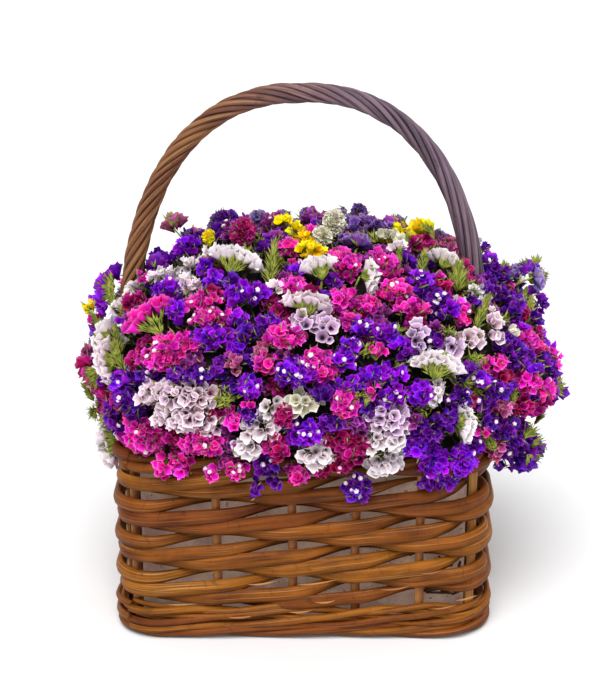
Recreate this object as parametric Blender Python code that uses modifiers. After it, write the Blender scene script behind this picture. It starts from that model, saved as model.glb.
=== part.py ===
"""Dried statice in a wicker basket with a roped arch handle.

Metres, +Z up, +X to the right, -Y towards the viewer. The origin is the middle of the basket's
underside. The basket is woven round eighteen uprights: sixteen stakes fused to the base board,
and the two ends of the handle's core. Nine rods wind up and round them, a foot wale and a rim
border close the wall, and a paper liner with a foam block inside holds the stems.
The flowers are thirty-four heads of one colour each, carried by eight branched green stems.
"""
import math
import random

import bmesh
import bpy
from mathutils import Matrix, Vector

MM = 0.001

# Wall of the basket, measured on the line through the uprights
WALL_HALF_WIDTH = 144 * MM
WALL_HALF_DEPTH = 98 * MM
WALL_CORNER_RADIUS = 38 * MM
STAKE_RADIUS = 2.8 * MM
STAKE_ROOT = 4 * MM
FRONT_STAKES = (-70 * MM, -9 * MM, 42 * MM, 94 * MM)
BACK_STAKES = (80 * MM, 27 * MM, -27 * MM, -80 * MM)
SIDE_STAKES = (-43 * MM, 0.0, 43 * MM)

# Woven rods: each passes in front of two uprights and behind the third
ROD_COUNT = 9
ROD_RADIUS = 4.75 * MM
ROD_SWING = 8.7 * MM
ROD_PITCH = 10.5 * MM
ROD_STAKES = 21
ROD_TIP = 0.5
WEAVE_BOTTOM = 31.2 * MM

# Foot wale, base board and rim border
FOOT_ROWS = 5
FOOT_ROW_HEIGHT = 5.2 * MM
FOOT_INNER = 3.3 * MM
FOOT_VALLEY = 10.4 * MM
FOOT_CREST = 12.6 * MM
BOARD_THICKNESS = 10 * MM
RIM_BOTTOM = 146.8 * MM
RIM_TOP = 158 * MM
RIM_HALF_WIDTH = 11 * MM
RIM_FLAT_SHARE = 0.55
HOLE_OVERRUN = 5 * MM
CORNER_STEPS = 4

# Handle: a superellipse above its spring line, straight legs below it
HANDLE_HALF_SPAN = WALL_HALF_WIDTH
HANDLE_SPRING = 215 * MM
HANDLE_TOP = 430 * MM
HANDLE_POWER = 2.3
HANDLE_FOOT = 14 * MM
CORE_RADIUS = 4.2 * MM
CORE_LEG_RADIUS = 2.9 * MM
CORE_SHOULDER = 4 * MM
WRAP_BOTTOM = RIM_TOP + 0.6 * MM
WRAP_CREST = 10.4 * MM
WRAP_VALLEY = 8.2 * MM
WRAP_STRANDS = 5
WRAP_TURN_LENGTH = 190 * MM
WRAP_STEP = 18 * MM
CORE_STEP = 24 * MM
ARCH_STEPS = 720

# Liner and foam
LINER_INSET = 16 * MM
LINER_THICKNESS = 1 * MM
LINER_TOP = 141 * MM
FOAM_TOP = 128 * MM
FOAM_HOLE_DEPTH = 60 * MM

# Gap left between pieces that touch, and the distance that welds a tube's caps
SEAT = 0.3 * MM
WELD = 0.01 * MM

# Flower mound: a rounded dome on whose surface the flowers' mouths lie
MOUND_CENTRE = Vector((10, 0, 205)) * MM
MOUND_HALF_SIZE = Vector((207, 145, 128)) * MM
MOUND_POWER = 2.4
CORE_DEPTH = 15 * MM
CORE_HALF_THICKNESS = 7 * MM
HEAD_CORE_RADIUS = 34 * MM
HEAD_CORE_GAP = 1.5 * MM

# Florets: spread evenly over the mound in rings, each fused to the head that lies nearest
FLORET_SPACING = 32.5 * MM
FLORET_LOWEST = math.radians(-17)
FLORET_GAP = 0.9 * MM
FLORET_LARGEST = 17 * MM
FLORET_SMALLEST = 7 * MM
FLORET_THROAT = 3 * MM
FLORET_ROOT = 1.5 * MM
FLORET_GATHER = 0.78
FLORET_REACH = 0.78
FLORET_CUP = 0.55
FLORET_TILT = 0.16
HANDLE_CLEAR = 12.5 * MM
WALL_CLEAR = 14.5 * MM

# Rings of heads: height angle on the mound, start in steps, colours from the front on
HEAD_RINGS = (
    (-9, 0.25, ("magenta", "violet", "magenta", "violet", "white", "purple",
                 "magenta", "pale", "white", "magenta", "magenta", "magenta")),
    (20, 0.5, ("purple", "pale", "purple", "violet", "yellow", "white",
               "purple", "magenta", "purple", "white", "magenta", "purple")),
    (52, 0.5, ("magenta", "white", "plum", "dusky", "lavender", "violet", "white", "violet")),
)
CROWN_HEADS = ((-34 * MM, "plum"), (54 * MM, "yellow"))
HANDLE_HEAD_STEP = 50 * MM
HANDLE_BRACT_STEP = 17 * MM
HANDLE_CHECK_STEP = 6 * MM
HEAD_SEED = 11

# Green stems: eight, each standing in its own foam hole
STEM_COUNT = 8
STEM_RADIUS = 4 * MM
STEM_HOLE_RADIUS = 4.8 * MM
STEM_FOOT = 74 * MM
STEM_CLEAR_OF_FOAM = 4 * MM
STEM_RING = Vector((80, 48, 0)) * MM
HUB_RING = Vector((92, 56, 172)) * MM
BRANCH_RADIUS = 2.2 * MM
BRANCH_END = 12 * MM
BRACTS_A_BRANCH = 2
BRACT_LENGTH = 24 * MM
BRACT_RADIUS = 1.9 * MM
BRACT_LEAN = 0.55
BRACT_FIRST = 0.4
BRACT_SPACING = 0.25
BRACT_SCATTER = 0.3
STEM_SEED = 5

COLOURS = {
    "wicker": (0.42, 0.22, 0.085, 0.62),
    "stake": (0.33, 0.14, 0.055, 0.6),
    "handle": (0.24, 0.15, 0.10, 0.65),
    "liner": (0.38, 0.31, 0.29, 0.85),
    "foam": (0.16, 0.19, 0.09, 0.95),
    "green": (0.16, 0.27, 0.035, 0.75),
    "purple": (0.15, 0.02, 0.55, 0.7),
    "violet": (0.10, 0.01, 0.36, 0.7),
    "magenta": (0.75, 0.02, 0.36, 0.7),
    "plum": (0.27, 0.02, 0.16, 0.75),
    "dusky": (0.20, 0.08, 0.26, 0.8),
    "lavender": (0.24, 0.20, 0.45, 0.8),
    "white": (0.86, 0.84, 0.78, 0.75),
    "pale": (0.80, 0.68, 0.76, 0.75),
    "yellow": (0.86, 0.72, 0.03, 0.7),
}


def clear_scene():
    """Empties the scene that Blender starts with."""
    for thing in list(bpy.data.objects):
        bpy.data.objects.remove(thing, do_unlink=True)


def make_material(name):
    """A Principled material from the table of colours."""
    red, green, blue, roughness = COLOURS[name]
    material = bpy.data.materials.new(name)
    material.use_nodes = True
    shader = material.node_tree.nodes["Principled BSDF"]
    shader.inputs["Base Color"].default_value = (red, green, blue, 1)
    shader.inputs["Roughness"].default_value = roughness
    shader.inputs["Metallic"].default_value = 0
    return material


class Workshop:
    """The collections and materials that every piece shares."""

    def __init__(self):
        self.parts = bpy.data.collections.new("statice_basket")
        self.cutters = bpy.data.collections.new("cutters")
        for group in (self.parts, self.cutters):
            bpy.context.scene.collection.children.link(group)
        self.materials = {name: make_material(name) for name in COLOURS}

    def add(self, thing, material):
        """Puts a finished piece among the parts, with its material and smooth shading."""
        thing.data.materials.clear()
        thing.data.materials.append(self.materials[material])
        self.parts.objects.link(thing)
        if thing.type == "MESH":
            thing.data.shade_smooth()
            thing.data.set_sharp_from_angle(angle=math.radians(40))
        return thing

    def add_cutter(self, thing):
        """Puts a cutter in its own collection, shown as wire and never built."""
        self.cutters.objects.link(thing)
        thing.hide_render = True
        thing.display_type = "WIRE"
        return thing


def mesh_object(name, work):
    """An object that takes over a bmesh."""
    mesh = bpy.data.meshes.new(name)
    work.to_mesh(mesh)
    work.free()
    return bpy.data.objects.new(name, mesh)


def path_curve(name, points, radius, factors=None, tilts=None, sides_level=1, profile=None,
               closed=False):
    """A tube or a swept profile along a list of points."""
    curve = bpy.data.curves.new(name, "CURVE")
    curve.dimensions = "3D"
    curve.use_fill_caps = not closed
    if profile is None:
        curve.bevel_depth = radius
        curve.bevel_resolution = sides_level
    else:
        curve.bevel_mode = "OBJECT"
        curve.bevel_object = profile
    if closed:
        curve.twist_mode = "Z_UP"
    spline = curve.splines.new("POLY")
    spline.points.add(len(points) - 1)
    spline.use_cyclic_u = closed
    for index, (target, point) in enumerate(zip(spline.points, points)):
        target.co = (point[0], point[1], point[2], 1)
        if factors is not None:
            target.radius = factors[index]
        if tilts is not None:
            target.tilt = tilts[index]
    return bpy.data.objects.new(name, curve)


def to_mesh(thing, shop):
    """The evaluated mesh of a curve, with its caps welded, or of an object with modifiers."""
    welded = thing.type == "CURVE"
    if not thing.users_collection:
        shop.cutters.objects.link(thing)
    bpy.context.view_layer.update()
    graph = bpy.context.evaluated_depsgraph_get()
    mesh = bpy.data.meshes.new_from_object(thing.evaluated_get(graph))
    if welded:
        work = bmesh.new()
        work.from_mesh(mesh)
        bmesh.ops.remove_doubles(work, verts=work.verts, dist=WELD)
        bmesh.ops.recalc_face_normals(work, faces=work.faces)
        work.to_mesh(mesh)
        work.free()
    solid = bpy.data.objects.new(thing.name + "_solid", mesh)
    solid.matrix_world = thing.matrix_world
    bpy.data.objects.remove(thing, do_unlink=True)
    return solid


def keep_outer_body(mesh):
    """Fills sealed hollows and drops loose scraps: only the largest closed shell stays."""
    work = bmesh.new()
    work.from_mesh(mesh)
    left = set(work.faces)
    shells = []
    while left:
        stack = [left.pop()]
        shell = set(stack)
        while stack:
            for edge in stack.pop().edges:
                for face in edge.link_faces:
                    if face in left:
                        left.remove(face)
                        shell.add(face)
                        stack.append(face)
        shells.append(shell)
    widest = max(shells, key=box_diagonal)
    extra = [face for shell in shells if shell is not widest for face in shell]
    bmesh.ops.delete(work, geom=extra, context="FACES")
    work.to_mesh(mesh)
    work.free()


def box_diagonal(faces):
    """The diagonal of the box round some faces."""
    spans = []
    for axis in range(3):
        values = [vert.co[axis] for face in faces for vert in face.verts]
        spans.append(max(values) - min(values))
    return math.sqrt(sum(span * span for span in spans))


def join_all(body, extras, shop, solver="EXACT"):
    """One Boolean union of a body with all its repeats, which are then removed."""
    group = bpy.data.collections.new(body.name + "_repeats")
    shop.cutters.children.link(group)
    for extra in extras:
        group.objects.link(extra)
    union = body.modifiers.new("join", "BOOLEAN")
    union.operation = "UNION"
    union.operand_type = "COLLECTION"
    union.collection = group
    union.solver = solver
    name = body.name
    joined = to_mesh(body, shop)
    for extra in extras:
        bpy.data.objects.remove(extra, do_unlink=True)
    bpy.data.collections.remove(group)
    joined.name = name
    joined.data.name = name
    keep_outer_body(joined.data)
    return joined


def cut_all(body, cutters, shop):
    """Cuts a body with a group of cutters and applies the cut."""
    for cutter in cutters:
        shop.add_cutter(cutter)
        difference = body.modifiers.new("cut", "BOOLEAN")
        difference.operation = "DIFFERENCE"
        difference.object = cutter
    name = body.name
    result = to_mesh(body, shop)
    result.name = name
    result.data.name = name
    return result


class WallPath:
    """The line through the uprights, by distance from the middle of the front."""

    def __init__(self):
        self.front = WALL_HALF_WIDTH - WALL_CORNER_RADIUS
        self.side = WALL_HALF_DEPTH - WALL_CORNER_RADIUS
        self.arc = WALL_CORNER_RADIUS * math.pi / 2
        self.length = 4 * (self.front + self.side + self.arc)
        self.stakes = self.stake_distances()

    def right_middle(self):
        """Distance to the middle of the right side."""
        return self.front + self.arc + self.side

    def stake_distances(self):
        """Distances of the uprights, counterclockwise from the front left corner."""
        corner = self.front + self.arc / 2
        right = self.right_middle()
        back = 2 * right
        left = 3 * right
        marks = [-corner, *FRONT_STAKES, corner]
        marks += [right + offset for offset in SIDE_STAKES]
        marks += [back - corner]
        marks += [back - place for place in BACK_STAKES]
        marks += [back + corner]
        marks += [left + offset for offset in SIDE_STAKES]
        return marks

    def corner_marks(self):
        """Distances a quarter and three quarters of the way round each corner."""
        right = self.right_middle()
        marks = []
        for quarter in range(4):
            half = self.front if quarter % 2 == 0 else self.side
            start = quarter * right + half
            marks += [start + self.arc / 4, start + self.arc * 3 / 4]
        return marks

    def place(self, distance, outward=0.0):
        """Plan point and outward direction at a distance along the line."""
        rest = distance % self.length
        corner_x = self.front
        corner_y = self.side
        turn = 0
        straight = self.front
        while rest > straight + self.arc:
            rest -= straight + self.arc
            turn += 1
            straight = 2 * (self.side if turn % 2 else self.front)
        heading = turn * math.pi / 2
        if rest > straight:
            heading += (rest - straight) / WALL_CORNER_RADIUS
        along = min(rest, straight)
        centres = ((corner_x, -corner_y), (corner_x, corner_y),
                   (-corner_x, corner_y), (-corner_x, -corner_y))
        normal = Vector((math.sin(heading), -math.cos(heading), 0))
        centre = Vector((*centres[turn % 4], 0))
        run = Vector((math.cos(turn * math.pi / 2), math.sin(turn * math.pi / 2), 0))
        point = centre + normal * (WALL_CORNER_RADIUS + outward) - run * (straight - along)
        return point, normal

    def stake_index(self, distance):
        """Index along the uprights, with fractions between them, for any distance."""
        turns = math.floor((distance - self.stakes[0]) / self.length)
        rest = distance - turns * self.length
        marks = self.stakes + [self.stakes[0] + self.length]
        for number in range(len(self.stakes)):
            if rest <= marks[number + 1] + 1e-9:
                part = (rest - marks[number]) / (marks[number + 1] - marks[number])
                return number + part + turns * len(self.stakes)
        return float(len(self.stakes) * (turns + 1))

    def outline(self, outward, steps=CORNER_STEPS):
        """Closed plan outline at an outward offset, with round corners."""
        marks = []
        right = self.right_middle()
        for quarter in range(4):
            half = self.front if quarter % 2 == 0 else self.side
            start = quarter * right + half
            marks += [start + self.arc * step / steps for step in range(steps + 1)]
        return [self.place(mark, outward)[0] for mark in marks]


def rod_offset(phase):
    """Outward offset of a rod: inside at phase 0, outside from 1 to 2, inside again at 3."""
    if phase < 1:
        swing = -math.cos(math.pi * phase)
    elif phase <= 2:
        swing = 1.0
    else:
        swing = -math.cos(math.pi * (3 - phase))
    return ROD_SWING * swing


def make_weaver(number, wall, shop):
    """One rod that winds up round the uprights, with thin tips at both ends."""
    stakes = len(wall.stakes)
    rise = ROD_PITCH * ROD_COUNT / stakes
    first = -ROD_PITCH * number / rise
    last = first + ROD_STAKES
    places = set()
    for turn in range(-2, 3):
        for mark in wall.stakes + wall.corner_marks():
            places.add(round(mark + turn * wall.length, 6))
    points = []
    factors = []
    for distance in sorted(places):
        index = wall.stake_index(distance)
        if index < first - 1e-3 or index > last + 1e-3:
            continue
        phase = (number + index) % 3
        point, _ = wall.place(distance, rod_offset(phase))
        point.z = WEAVE_BOTTOM + ROD_PITCH * number + rise * index
        points.append(point)
        end = min(index - first, last - index)
        factors.append(min(1.0, ROD_TIP + (1 - ROD_TIP) * end))
    rod = path_curve(f"weaver_{number + 1}", points, ROD_RADIUS, factors)
    shop.add(rod, "wicker")


def flat_plate(name, outline, bottom, top):
    """A plate with a plan outline, from a filled flat curve."""
    curve = bpy.data.curves.new(name, "CURVE")
    curve.dimensions = "2D"
    curve.fill_mode = "BOTH"
    curve.extrude = (top - bottom) / 2
    spline = curve.splines.new("POLY")
    spline.points.add(len(outline) - 1)
    spline.use_cyclic_u = True
    for target, point in zip(spline.points, outline):
        target.co = (point[0], point[1], 0, 1)
    plate = bpy.data.objects.new(name, curve)
    plate.location.z = (top + bottom) / 2
    return plate


def cylinder(name, radius, bottom, top, place, sides):
    """An upright cylinder at a plan point."""
    work = bmesh.new()
    bmesh.ops.create_cone(work, cap_ends=True, segments=sides, radius1=radius, radius2=radius,
                          depth=top - bottom)
    thing = mesh_object(name, work)
    thing.location = (place[0], place[1], (top + bottom) / 2)
    return thing


def is_handle_leg(number, wall):
    """True for the two uprights that are the handle's ends."""
    point, _ = wall.place(wall.stakes[number])
    return abs(point.y) < MM and abs(point.x) > WALL_HALF_WIDTH - MM


def make_base(wall, shop):
    """The base board with the sixteen stakes that grow out of it."""
    board = to_mesh(flat_plate("base_and_stakes", wall.outline(STAKE_RADIUS - SEAT), 0.0,
                               BOARD_THICKNESS), shop)
    board.name = "base_and_stakes"
    stakes = []
    for number, distance in enumerate(wall.stakes):
        if is_handle_leg(number, wall):
            continue
        point, _ = wall.place(distance)
        stakes.append(cylinder(f"stake_{number}", STAKE_RADIUS, STAKE_ROOT, RIM_BOTTOM - SEAT,
                               point, 6))
    body = join_all(board, stakes, shop)
    sockets = []
    for side in (-1, 1):
        sockets.append(cylinder("leg_socket", CORE_LEG_RADIUS + 2 * SEAT, BOARD_THICKNESS / 2,
                                BOARD_THICKNESS * 2, (side * WALL_HALF_WIDTH, 0), 8))
    return body, sockets


def ring_band(name, wall, profile_points, height, shop):
    """A band of one cross-section swept round the wall's line."""
    profile = bpy.data.curves.new(name + "_profile", "CURVE")
    profile.dimensions = "2D"
    spline = profile.splines.new("POLY")
    spline.points.add(len(profile_points) - 1)
    spline.use_cyclic_u = True
    for target, (outward, up) in zip(spline.points, profile_points):
        target.co = (outward, up, 0, 1)
    section = bpy.data.objects.new(name + "_profile", profile)
    shop.add_cutter(section)
    path = [Vector((point.x, point.y, height)) for point in wall.outline(0.0)]
    band = path_curve(name, path, 0, profile=section, closed=True)
    solid = to_mesh(band, shop)
    bpy.data.objects.remove(section, do_unlink=True)
    solid.name = name
    return solid


def make_foot(wall, shop):
    """The foot wale: a band of five fine rods round the base, standing on the ground."""
    profile = [(FOOT_INNER, 0.0)]
    for row in range(FOOT_ROWS):
        base = row * FOOT_ROW_HEIGHT
        profile.append((FOOT_VALLEY, base))
        profile.append((FOOT_CREST, base + FOOT_ROW_HEIGHT / 2))
    profile.append((FOOT_VALLEY, FOOT_ROWS * FOOT_ROW_HEIGHT))
    profile.append((FOOT_INNER, FOOT_ROWS * FOOT_ROW_HEIGHT))
    shop.add(ring_band("foot_wale", wall, profile, 0.0, shop), "wicker")


def make_rim(wall, shop):
    """The rim border over the stakes' tops, with a plain hole for each leg of the handle."""
    middle = (RIM_TOP + RIM_BOTTOM) / 2
    half = (RIM_TOP - RIM_BOTTOM) / 2
    flat = RIM_HALF_WIDTH * RIM_FLAT_SHARE
    profile = [(-RIM_HALF_WIDTH, 0), (-flat, -half), (flat, -half),
               (RIM_HALF_WIDTH, 0), (flat, half), (-flat, half)]
    rim = ring_band("rim_border", wall, profile, middle, shop)
    holes = []
    for side in (-1, 1):
        holes.append(cylinder("rim_hole", CORE_RADIUS + 2 * SEAT, RIM_BOTTOM - HOLE_OVERRUN,
                              RIM_TOP + HOLE_OVERRUN, (side * WALL_HALF_WIDTH, 0), 10))
    shop.add(cut_all(rim, holes, shop), "wicker")


def handle_point(angle):
    """A point of the handle's arch: angle 0 at the right spring line, 180 degrees at the left."""
    side = math.cos(angle)
    rise = math.sin(angle)
    power = 2 / HANDLE_POWER
    across = math.copysign(abs(side) ** power, side)
    up = abs(rise) ** power
    height = HANDLE_SPRING + (HANDLE_TOP - HANDLE_SPRING) * up
    return Vector((HANDLE_HALF_SPAN * across, 0, height))


def even_points(dense, step):
    """Points at an even spacing along a dense list of points, both ends kept."""
    lengths = [0.0]
    for before, after in zip(dense, dense[1:]):
        lengths.append(lengths[-1] + (after - before).length)
    count = max(2, round(lengths[-1] / step))
    result = []
    index = 0
    for number in range(count + 1):
        target = lengths[-1] * number / count
        while index < len(dense) - 2 and lengths[index + 1] < target:
            index += 1
        span = lengths[index + 1] - lengths[index]
        part = (target - lengths[index]) / span if span > 0 else 0.0
        result.append(dense[index].lerp(dense[index + 1], min(1.0, part)))
    return result


def handle_line(start_height, step):
    """The handle's centre line from one leg's height up, over and down to the other's."""
    arch = [handle_point(math.pi * number / ARCH_STEPS) for number in range(ARCH_STEPS + 1)]
    right = Vector((HANDLE_HALF_SPAN, 0, start_height))
    left = Vector((-HANDLE_HALF_SPAN, 0, start_height))
    return even_points([right, *arch, left], step)


def make_handle(shop):
    """The handle: a bent core stick whose thinned ends stand in the wall, and its roped wrap."""
    line = handle_line(RIM_BOTTOM, CORE_STEP)
    low = HANDLE_FOOT - BOARD_THICKNESS / 2
    feet = [Vector((HANDLE_HALF_SPAN, 0, height)) for height in (low, RIM_BOTTOM - CORE_SHOULDER)]
    far = [Vector((-HANDLE_HALF_SPAN, 0, height)) for height in (RIM_BOTTOM - CORE_SHOULDER, low)]
    thin = CORE_LEG_RADIUS / CORE_RADIUS
    factors = [thin, thin] + [1.0] * len(line) + [thin, thin]
    core = path_curve("handle_core", feet + line + far, CORE_RADIUS, factors)
    shop.add(core, "stake")

    lobes = 2 * WRAP_STRANDS
    profile = bpy.data.curves.new("wrap_profile", "CURVE")
    profile.dimensions = "2D"
    spline = profile.splines.new("POLY")
    spline.points.add(lobes - 1)
    spline.use_cyclic_u = True
    for number, target in enumerate(spline.points):
        radius = WRAP_CREST if number % 2 == 0 else WRAP_VALLEY
        angle = 2 * math.pi * number / lobes
        target.co = (radius * math.cos(angle), radius * math.sin(angle), 0, 1)
    section = bpy.data.objects.new("wrap_profile", profile)
    shop.add_cutter(section)
    route = handle_line(WRAP_BOTTOM, WRAP_STEP)
    step = sum((b - a).length for a, b in zip(route, route[1:])) / (len(route) - 1)
    tilts = [2 * math.pi * step * number / WRAP_TURN_LENGTH for number in range(len(route))]
    wrap = to_mesh(path_curve("handle_wrap", route, 0, tilts=tilts, profile=section), shop)
    wrap.name = "handle_wrap"
    bpy.data.objects.remove(section, do_unlink=True)
    bore_line = handle_line(WRAP_BOTTOM - HOLE_OVERRUN, CORE_STEP)
    bore = to_mesh(path_curve("wrap_bore", bore_line, CORE_RADIUS + 2.5 * SEAT), shop)
    shop.add(cut_all(wrap, [bore], shop), "handle")


def make_liner(wall, shop):
    """The paper liner: an open tray inside the wall, standing on the base board."""
    outline = wall.outline(-LINER_INSET)
    work = bmesh.new()
    bottom = BOARD_THICKNESS + SEAT
    floor = work.faces.new([work.verts.new((point.x, point.y, bottom)) for point in outline])
    rim = bmesh.ops.extrude_edge_only(work, edges=list(floor.edges))
    raised = [part for part in rim["geom"] if isinstance(part, bmesh.types.BMVert)]
    bmesh.ops.translate(work, verts=raised, vec=(0, 0, LINER_TOP - bottom))
    liner = mesh_object("paper_liner", work)
    shell = liner.modifiers.new("thickness", "SOLIDIFY")
    shell.thickness = LINER_THICKNESS
    shell.offset = 1
    shell.use_even_offset = True
    shop.add(liner, "liner")


def stem_places():
    """Plan points of the stems in the foam, and of the hubs where they branch."""
    places = []
    for number in range(STEM_COUNT):
        bearing = 2 * math.pi * (number + 0.5) / STEM_COUNT
        across = math.sin(bearing)
        back = -math.cos(bearing)
        foot = Vector((STEM_RING.x * across, STEM_RING.y * back, STEM_FOOT))
        hub = Vector((MOUND_CENTRE.x + HUB_RING.x * across, HUB_RING.y * back, HUB_RING.z))
        places.append((foot, hub))
    return places


def make_foam(wall, shop):
    """The dry foam block in the liner, with a plain blind hole for each stem."""
    inset = LINER_INSET + LINER_THICKNESS + SEAT
    bottom = BOARD_THICKNESS + 2 * SEAT + LINER_THICKNESS
    block = to_mesh(flat_plate("foam_block", wall.outline(-inset), bottom, FOAM_TOP), shop)
    block.name = "foam_block"
    holes = []
    for number, (foot, _) in enumerate(stem_places()):
        holes.append(cylinder(f"stem_hole_{number}", STEM_HOLE_RADIUS, FOAM_TOP - FOAM_HOLE_DEPTH,
                              FOAM_TOP + HOLE_OVERRUN, foot, 8))
    shop.add(cut_all(block, holes, shop), "foam")


def on_mound(across, back, height):
    """A point of the mound's surface and its outward direction, towards a unit direction."""
    half = MOUND_HALF_SIZE
    power = MOUND_POWER
    plan = (abs(across) ** power + abs(back) ** power) ** (1 / power)
    size = math.hypot(plan, height)
    unit = Vector((across, back, height)) / size
    point = MOUND_CENTRE + Vector((unit.x * half.x, unit.y * half.y, unit.z * half.z))
    share = max(plan / size, 1e-6) ** (2 - power)
    slope_x = math.copysign(share * abs(unit.x) ** (power - 1), unit.x) / half.x
    slope_y = math.copysign(share * abs(unit.y) ** (power - 1), unit.y) / half.y
    return point, Vector((slope_x, slope_y, unit.z / half.z)).normalized()


def ring_angles(count, start, elevation):
    """Bearings that space heads evenly along one ring of the mound."""
    radius_x = MOUND_HALF_SIZE.x * math.cos(elevation)
    radius_y = MOUND_HALF_SIZE.y * math.cos(elevation)
    steps = 1440
    lengths = [0.0]
    for step in range(steps):
        angle = 2 * math.pi * (step + 0.5) / steps
        speed = math.hypot(radius_x * math.cos(angle), radius_y * math.sin(angle))
        lengths.append(lengths[-1] + speed * 2 * math.pi / steps)
    angles = []
    for number in range(count):
        target = lengths[-1] * (number + start) / count
        index = min(range(steps), key=lambda step: abs(lengths[step] - target))
        angles.append(2 * math.pi * index / steps)
    return angles


def beside_handle(across, back):
    """True for a head so near a leg of the handle that it has to step aside."""
    return abs(across) > 0.5 and abs(back) * MOUND_HALF_SIZE.y < HANDLE_HEAD_STEP


def head_places():
    """Place on the mound, outward direction and colour of every head."""
    heads = []
    for degrees, start, colours in HEAD_RINGS:
        elevation = math.radians(degrees)
        for angle, colour in zip(ring_angles(len(colours), start, elevation), colours):
            across = math.sin(angle) * math.cos(elevation)
            back = -math.cos(angle) * math.cos(elevation)
            if degrees > 0 and beside_handle(across, back):
                back = math.copysign(HANDLE_HEAD_STEP / MOUND_HALF_SIZE.y, back)
            point, normal = on_mound(across, back, math.sin(elevation))
            heads.append((point, normal, colour))
    for place, colour in CROWN_HEADS:
        across = (place - MOUND_CENTRE.x) / MOUND_HALF_SIZE.x
        point, normal = on_mound(across, 0, math.sqrt(1 - across * across))
        heads.append((point, normal, colour))
    return heads


def frame_at(point, normal, turn):
    """A matrix whose Z is the outward direction, turned about it."""
    return Matrix.Translation(point) @ normal.to_track_quat("Z", "Y").to_matrix().to_4x4() \
        @ Matrix.Rotation(turn, 4, "Z")


def wall_distance(point):
    """Plan distance of a point outside the line through the uprights."""
    across = abs(point.x) - (WALL_HALF_WIDTH - WALL_CORNER_RADIUS)
    along = abs(point.y) - (WALL_HALF_DEPTH - WALL_CORNER_RADIUS)
    outside = math.hypot(max(across, 0), max(along, 0))
    return outside + min(max(across, along), 0) - WALL_CORNER_RADIUS


def free_radius(point, handle):
    """How wide a floret may be at a point before it meets the handle or the basket's wall."""
    gap = min((point - mark).length for mark in handle) - HANDLE_CLEAR
    rim_height = (RIM_BOTTOM + RIM_TOP) / 2
    rise = max(point.z - rim_height, 0)
    return min(gap, math.hypot(wall_distance(point), rise) - WALL_CLEAR)


def floret_places():
    """Mouth centre, outward direction and mouth radius of every floret."""
    half = MOUND_HALF_SIZE
    width = (half.x + half.y) / 2
    sites = []
    elevation = FLORET_LOWEST
    odd = False
    while elevation < math.pi / 2:
        girth = 2 * math.pi * width * math.cos(elevation)
        count = max(1, round(girth / FLORET_SPACING))
        for angle in ring_angles(count, 0.5 if odd else 0.0, elevation):
            level = math.cos(elevation)
            sites.append(on_mound(level * math.sin(angle), -level * math.cos(angle),
                                  math.sin(elevation)))
        slope = math.hypot(width * math.sin(elevation), half.z * math.cos(elevation))
        elevation += FLORET_SPACING * math.sqrt(0.75) / slope
        odd = not odd
    handle = handle_line(WRAP_BOTTOM, HANDLE_CHECK_STEP)
    florets = []
    for index, (point, normal) in enumerate(sites):
        nearest = min((point - other).length for number, (other, _) in enumerate(sites)
                      if number != index)
        radius = min(nearest / 2 - FLORET_GAP / 2, FLORET_LARGEST, free_radius(point, handle))
        if radius > FLORET_SMALLEST:
            florets.append((point, normal, radius))
    return florets


def make_floret(root, mouth, normal, radius, rng):
    """One papery funnel from its root in the head's core to its cupped mouth."""
    length = (mouth - root).length
    work = bmesh.new()
    bmesh.ops.create_cone(work, cap_ends=True, segments=5, radius1=FLORET_THROAT, radius2=radius,
                          depth=length)
    upper = [vert for vert in work.verts if vert.co.z > 0]
    lower = [vert for vert in work.verts if vert.co.z < 0]
    cap = next(face for face in work.faces if all(vert in upper for vert in face.verts))
    bmesh.ops.translate(work, verts=upper, vec=(0, 0, -length / 2))
    bmesh.ops.translate(work, verts=lower, vec=(0, 0, length / 2))
    cup = bmesh.ops.poke(work, faces=[cap])["verts"]
    bmesh.ops.translate(work, verts=cup, vec=(0, 0, -FLORET_CUP * radius))
    tilt = Matrix.Rotation(rng.uniform(-FLORET_TILT, FLORET_TILT), 4, "X")
    facing = frame_at(Vector((0, 0, 0)), normal, rng.uniform(0, 2 * math.pi)) @ tilt
    bmesh.ops.transform(work, matrix=Matrix.Translation(mouth) @ facing, verts=upper + cup)
    bmesh.ops.transform(work, matrix=Matrix.Translation(root) @ facing, verts=lower)
    return mesh_object("floret", work)


def make_head(number, head, florets, rng, shop):
    """One flower head: a slim core, and papery funnels all over its outer face."""
    point, normal, colour, core_radius = head
    centre = point - normal * CORE_DEPTH
    frame = frame_at(centre, normal, rng.uniform(0, 2 * math.pi))
    work = bmesh.new()
    bmesh.ops.create_uvsphere(work, u_segments=6, v_segments=3, radius=1)
    bmesh.ops.scale(work, verts=work.verts, vec=(core_radius, core_radius, CORE_HALF_THICKNESS))
    bmesh.ops.transform(work, matrix=frame, verts=work.verts)
    core = mesh_object(f"{colour}_head_{number:02d}", work)
    funnels = []
    for mouth, outward, radius in florets:
        offset = mouth - point
        aside = offset - normal * offset.dot(normal)
        gather = min(FLORET_GATHER, FLORET_REACH * core_radius / max(aside.length, MM))
        root = centre + aside * gather - normal * FLORET_ROOT
        funnels.append(make_floret(root, mouth, outward, radius, rng))
    shop.add(join_all(core, funnels, shop, solver="MANIFOLD"), colour)


def core_radii(heads):
    """How wide each head's core may be beside its neighbours and the basket's wall."""
    centres = [point - normal * CORE_DEPTH for point, normal, _ in heads]
    radii = []
    for index, centre in enumerate(centres):
        nearest = min((centre - other).length for number, other in enumerate(centres)
                      if number != index)
        rim_height = (RIM_BOTTOM + RIM_TOP) / 2
        rise = max(centre.z - rim_height, 0)
        wall = math.hypot(max(wall_distance(centre), 0), rise) - WALL_CLEAR
        radii.append(min(HEAD_CORE_RADIUS, nearest / 2 - HEAD_CORE_GAP, wall))
    return radii


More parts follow.
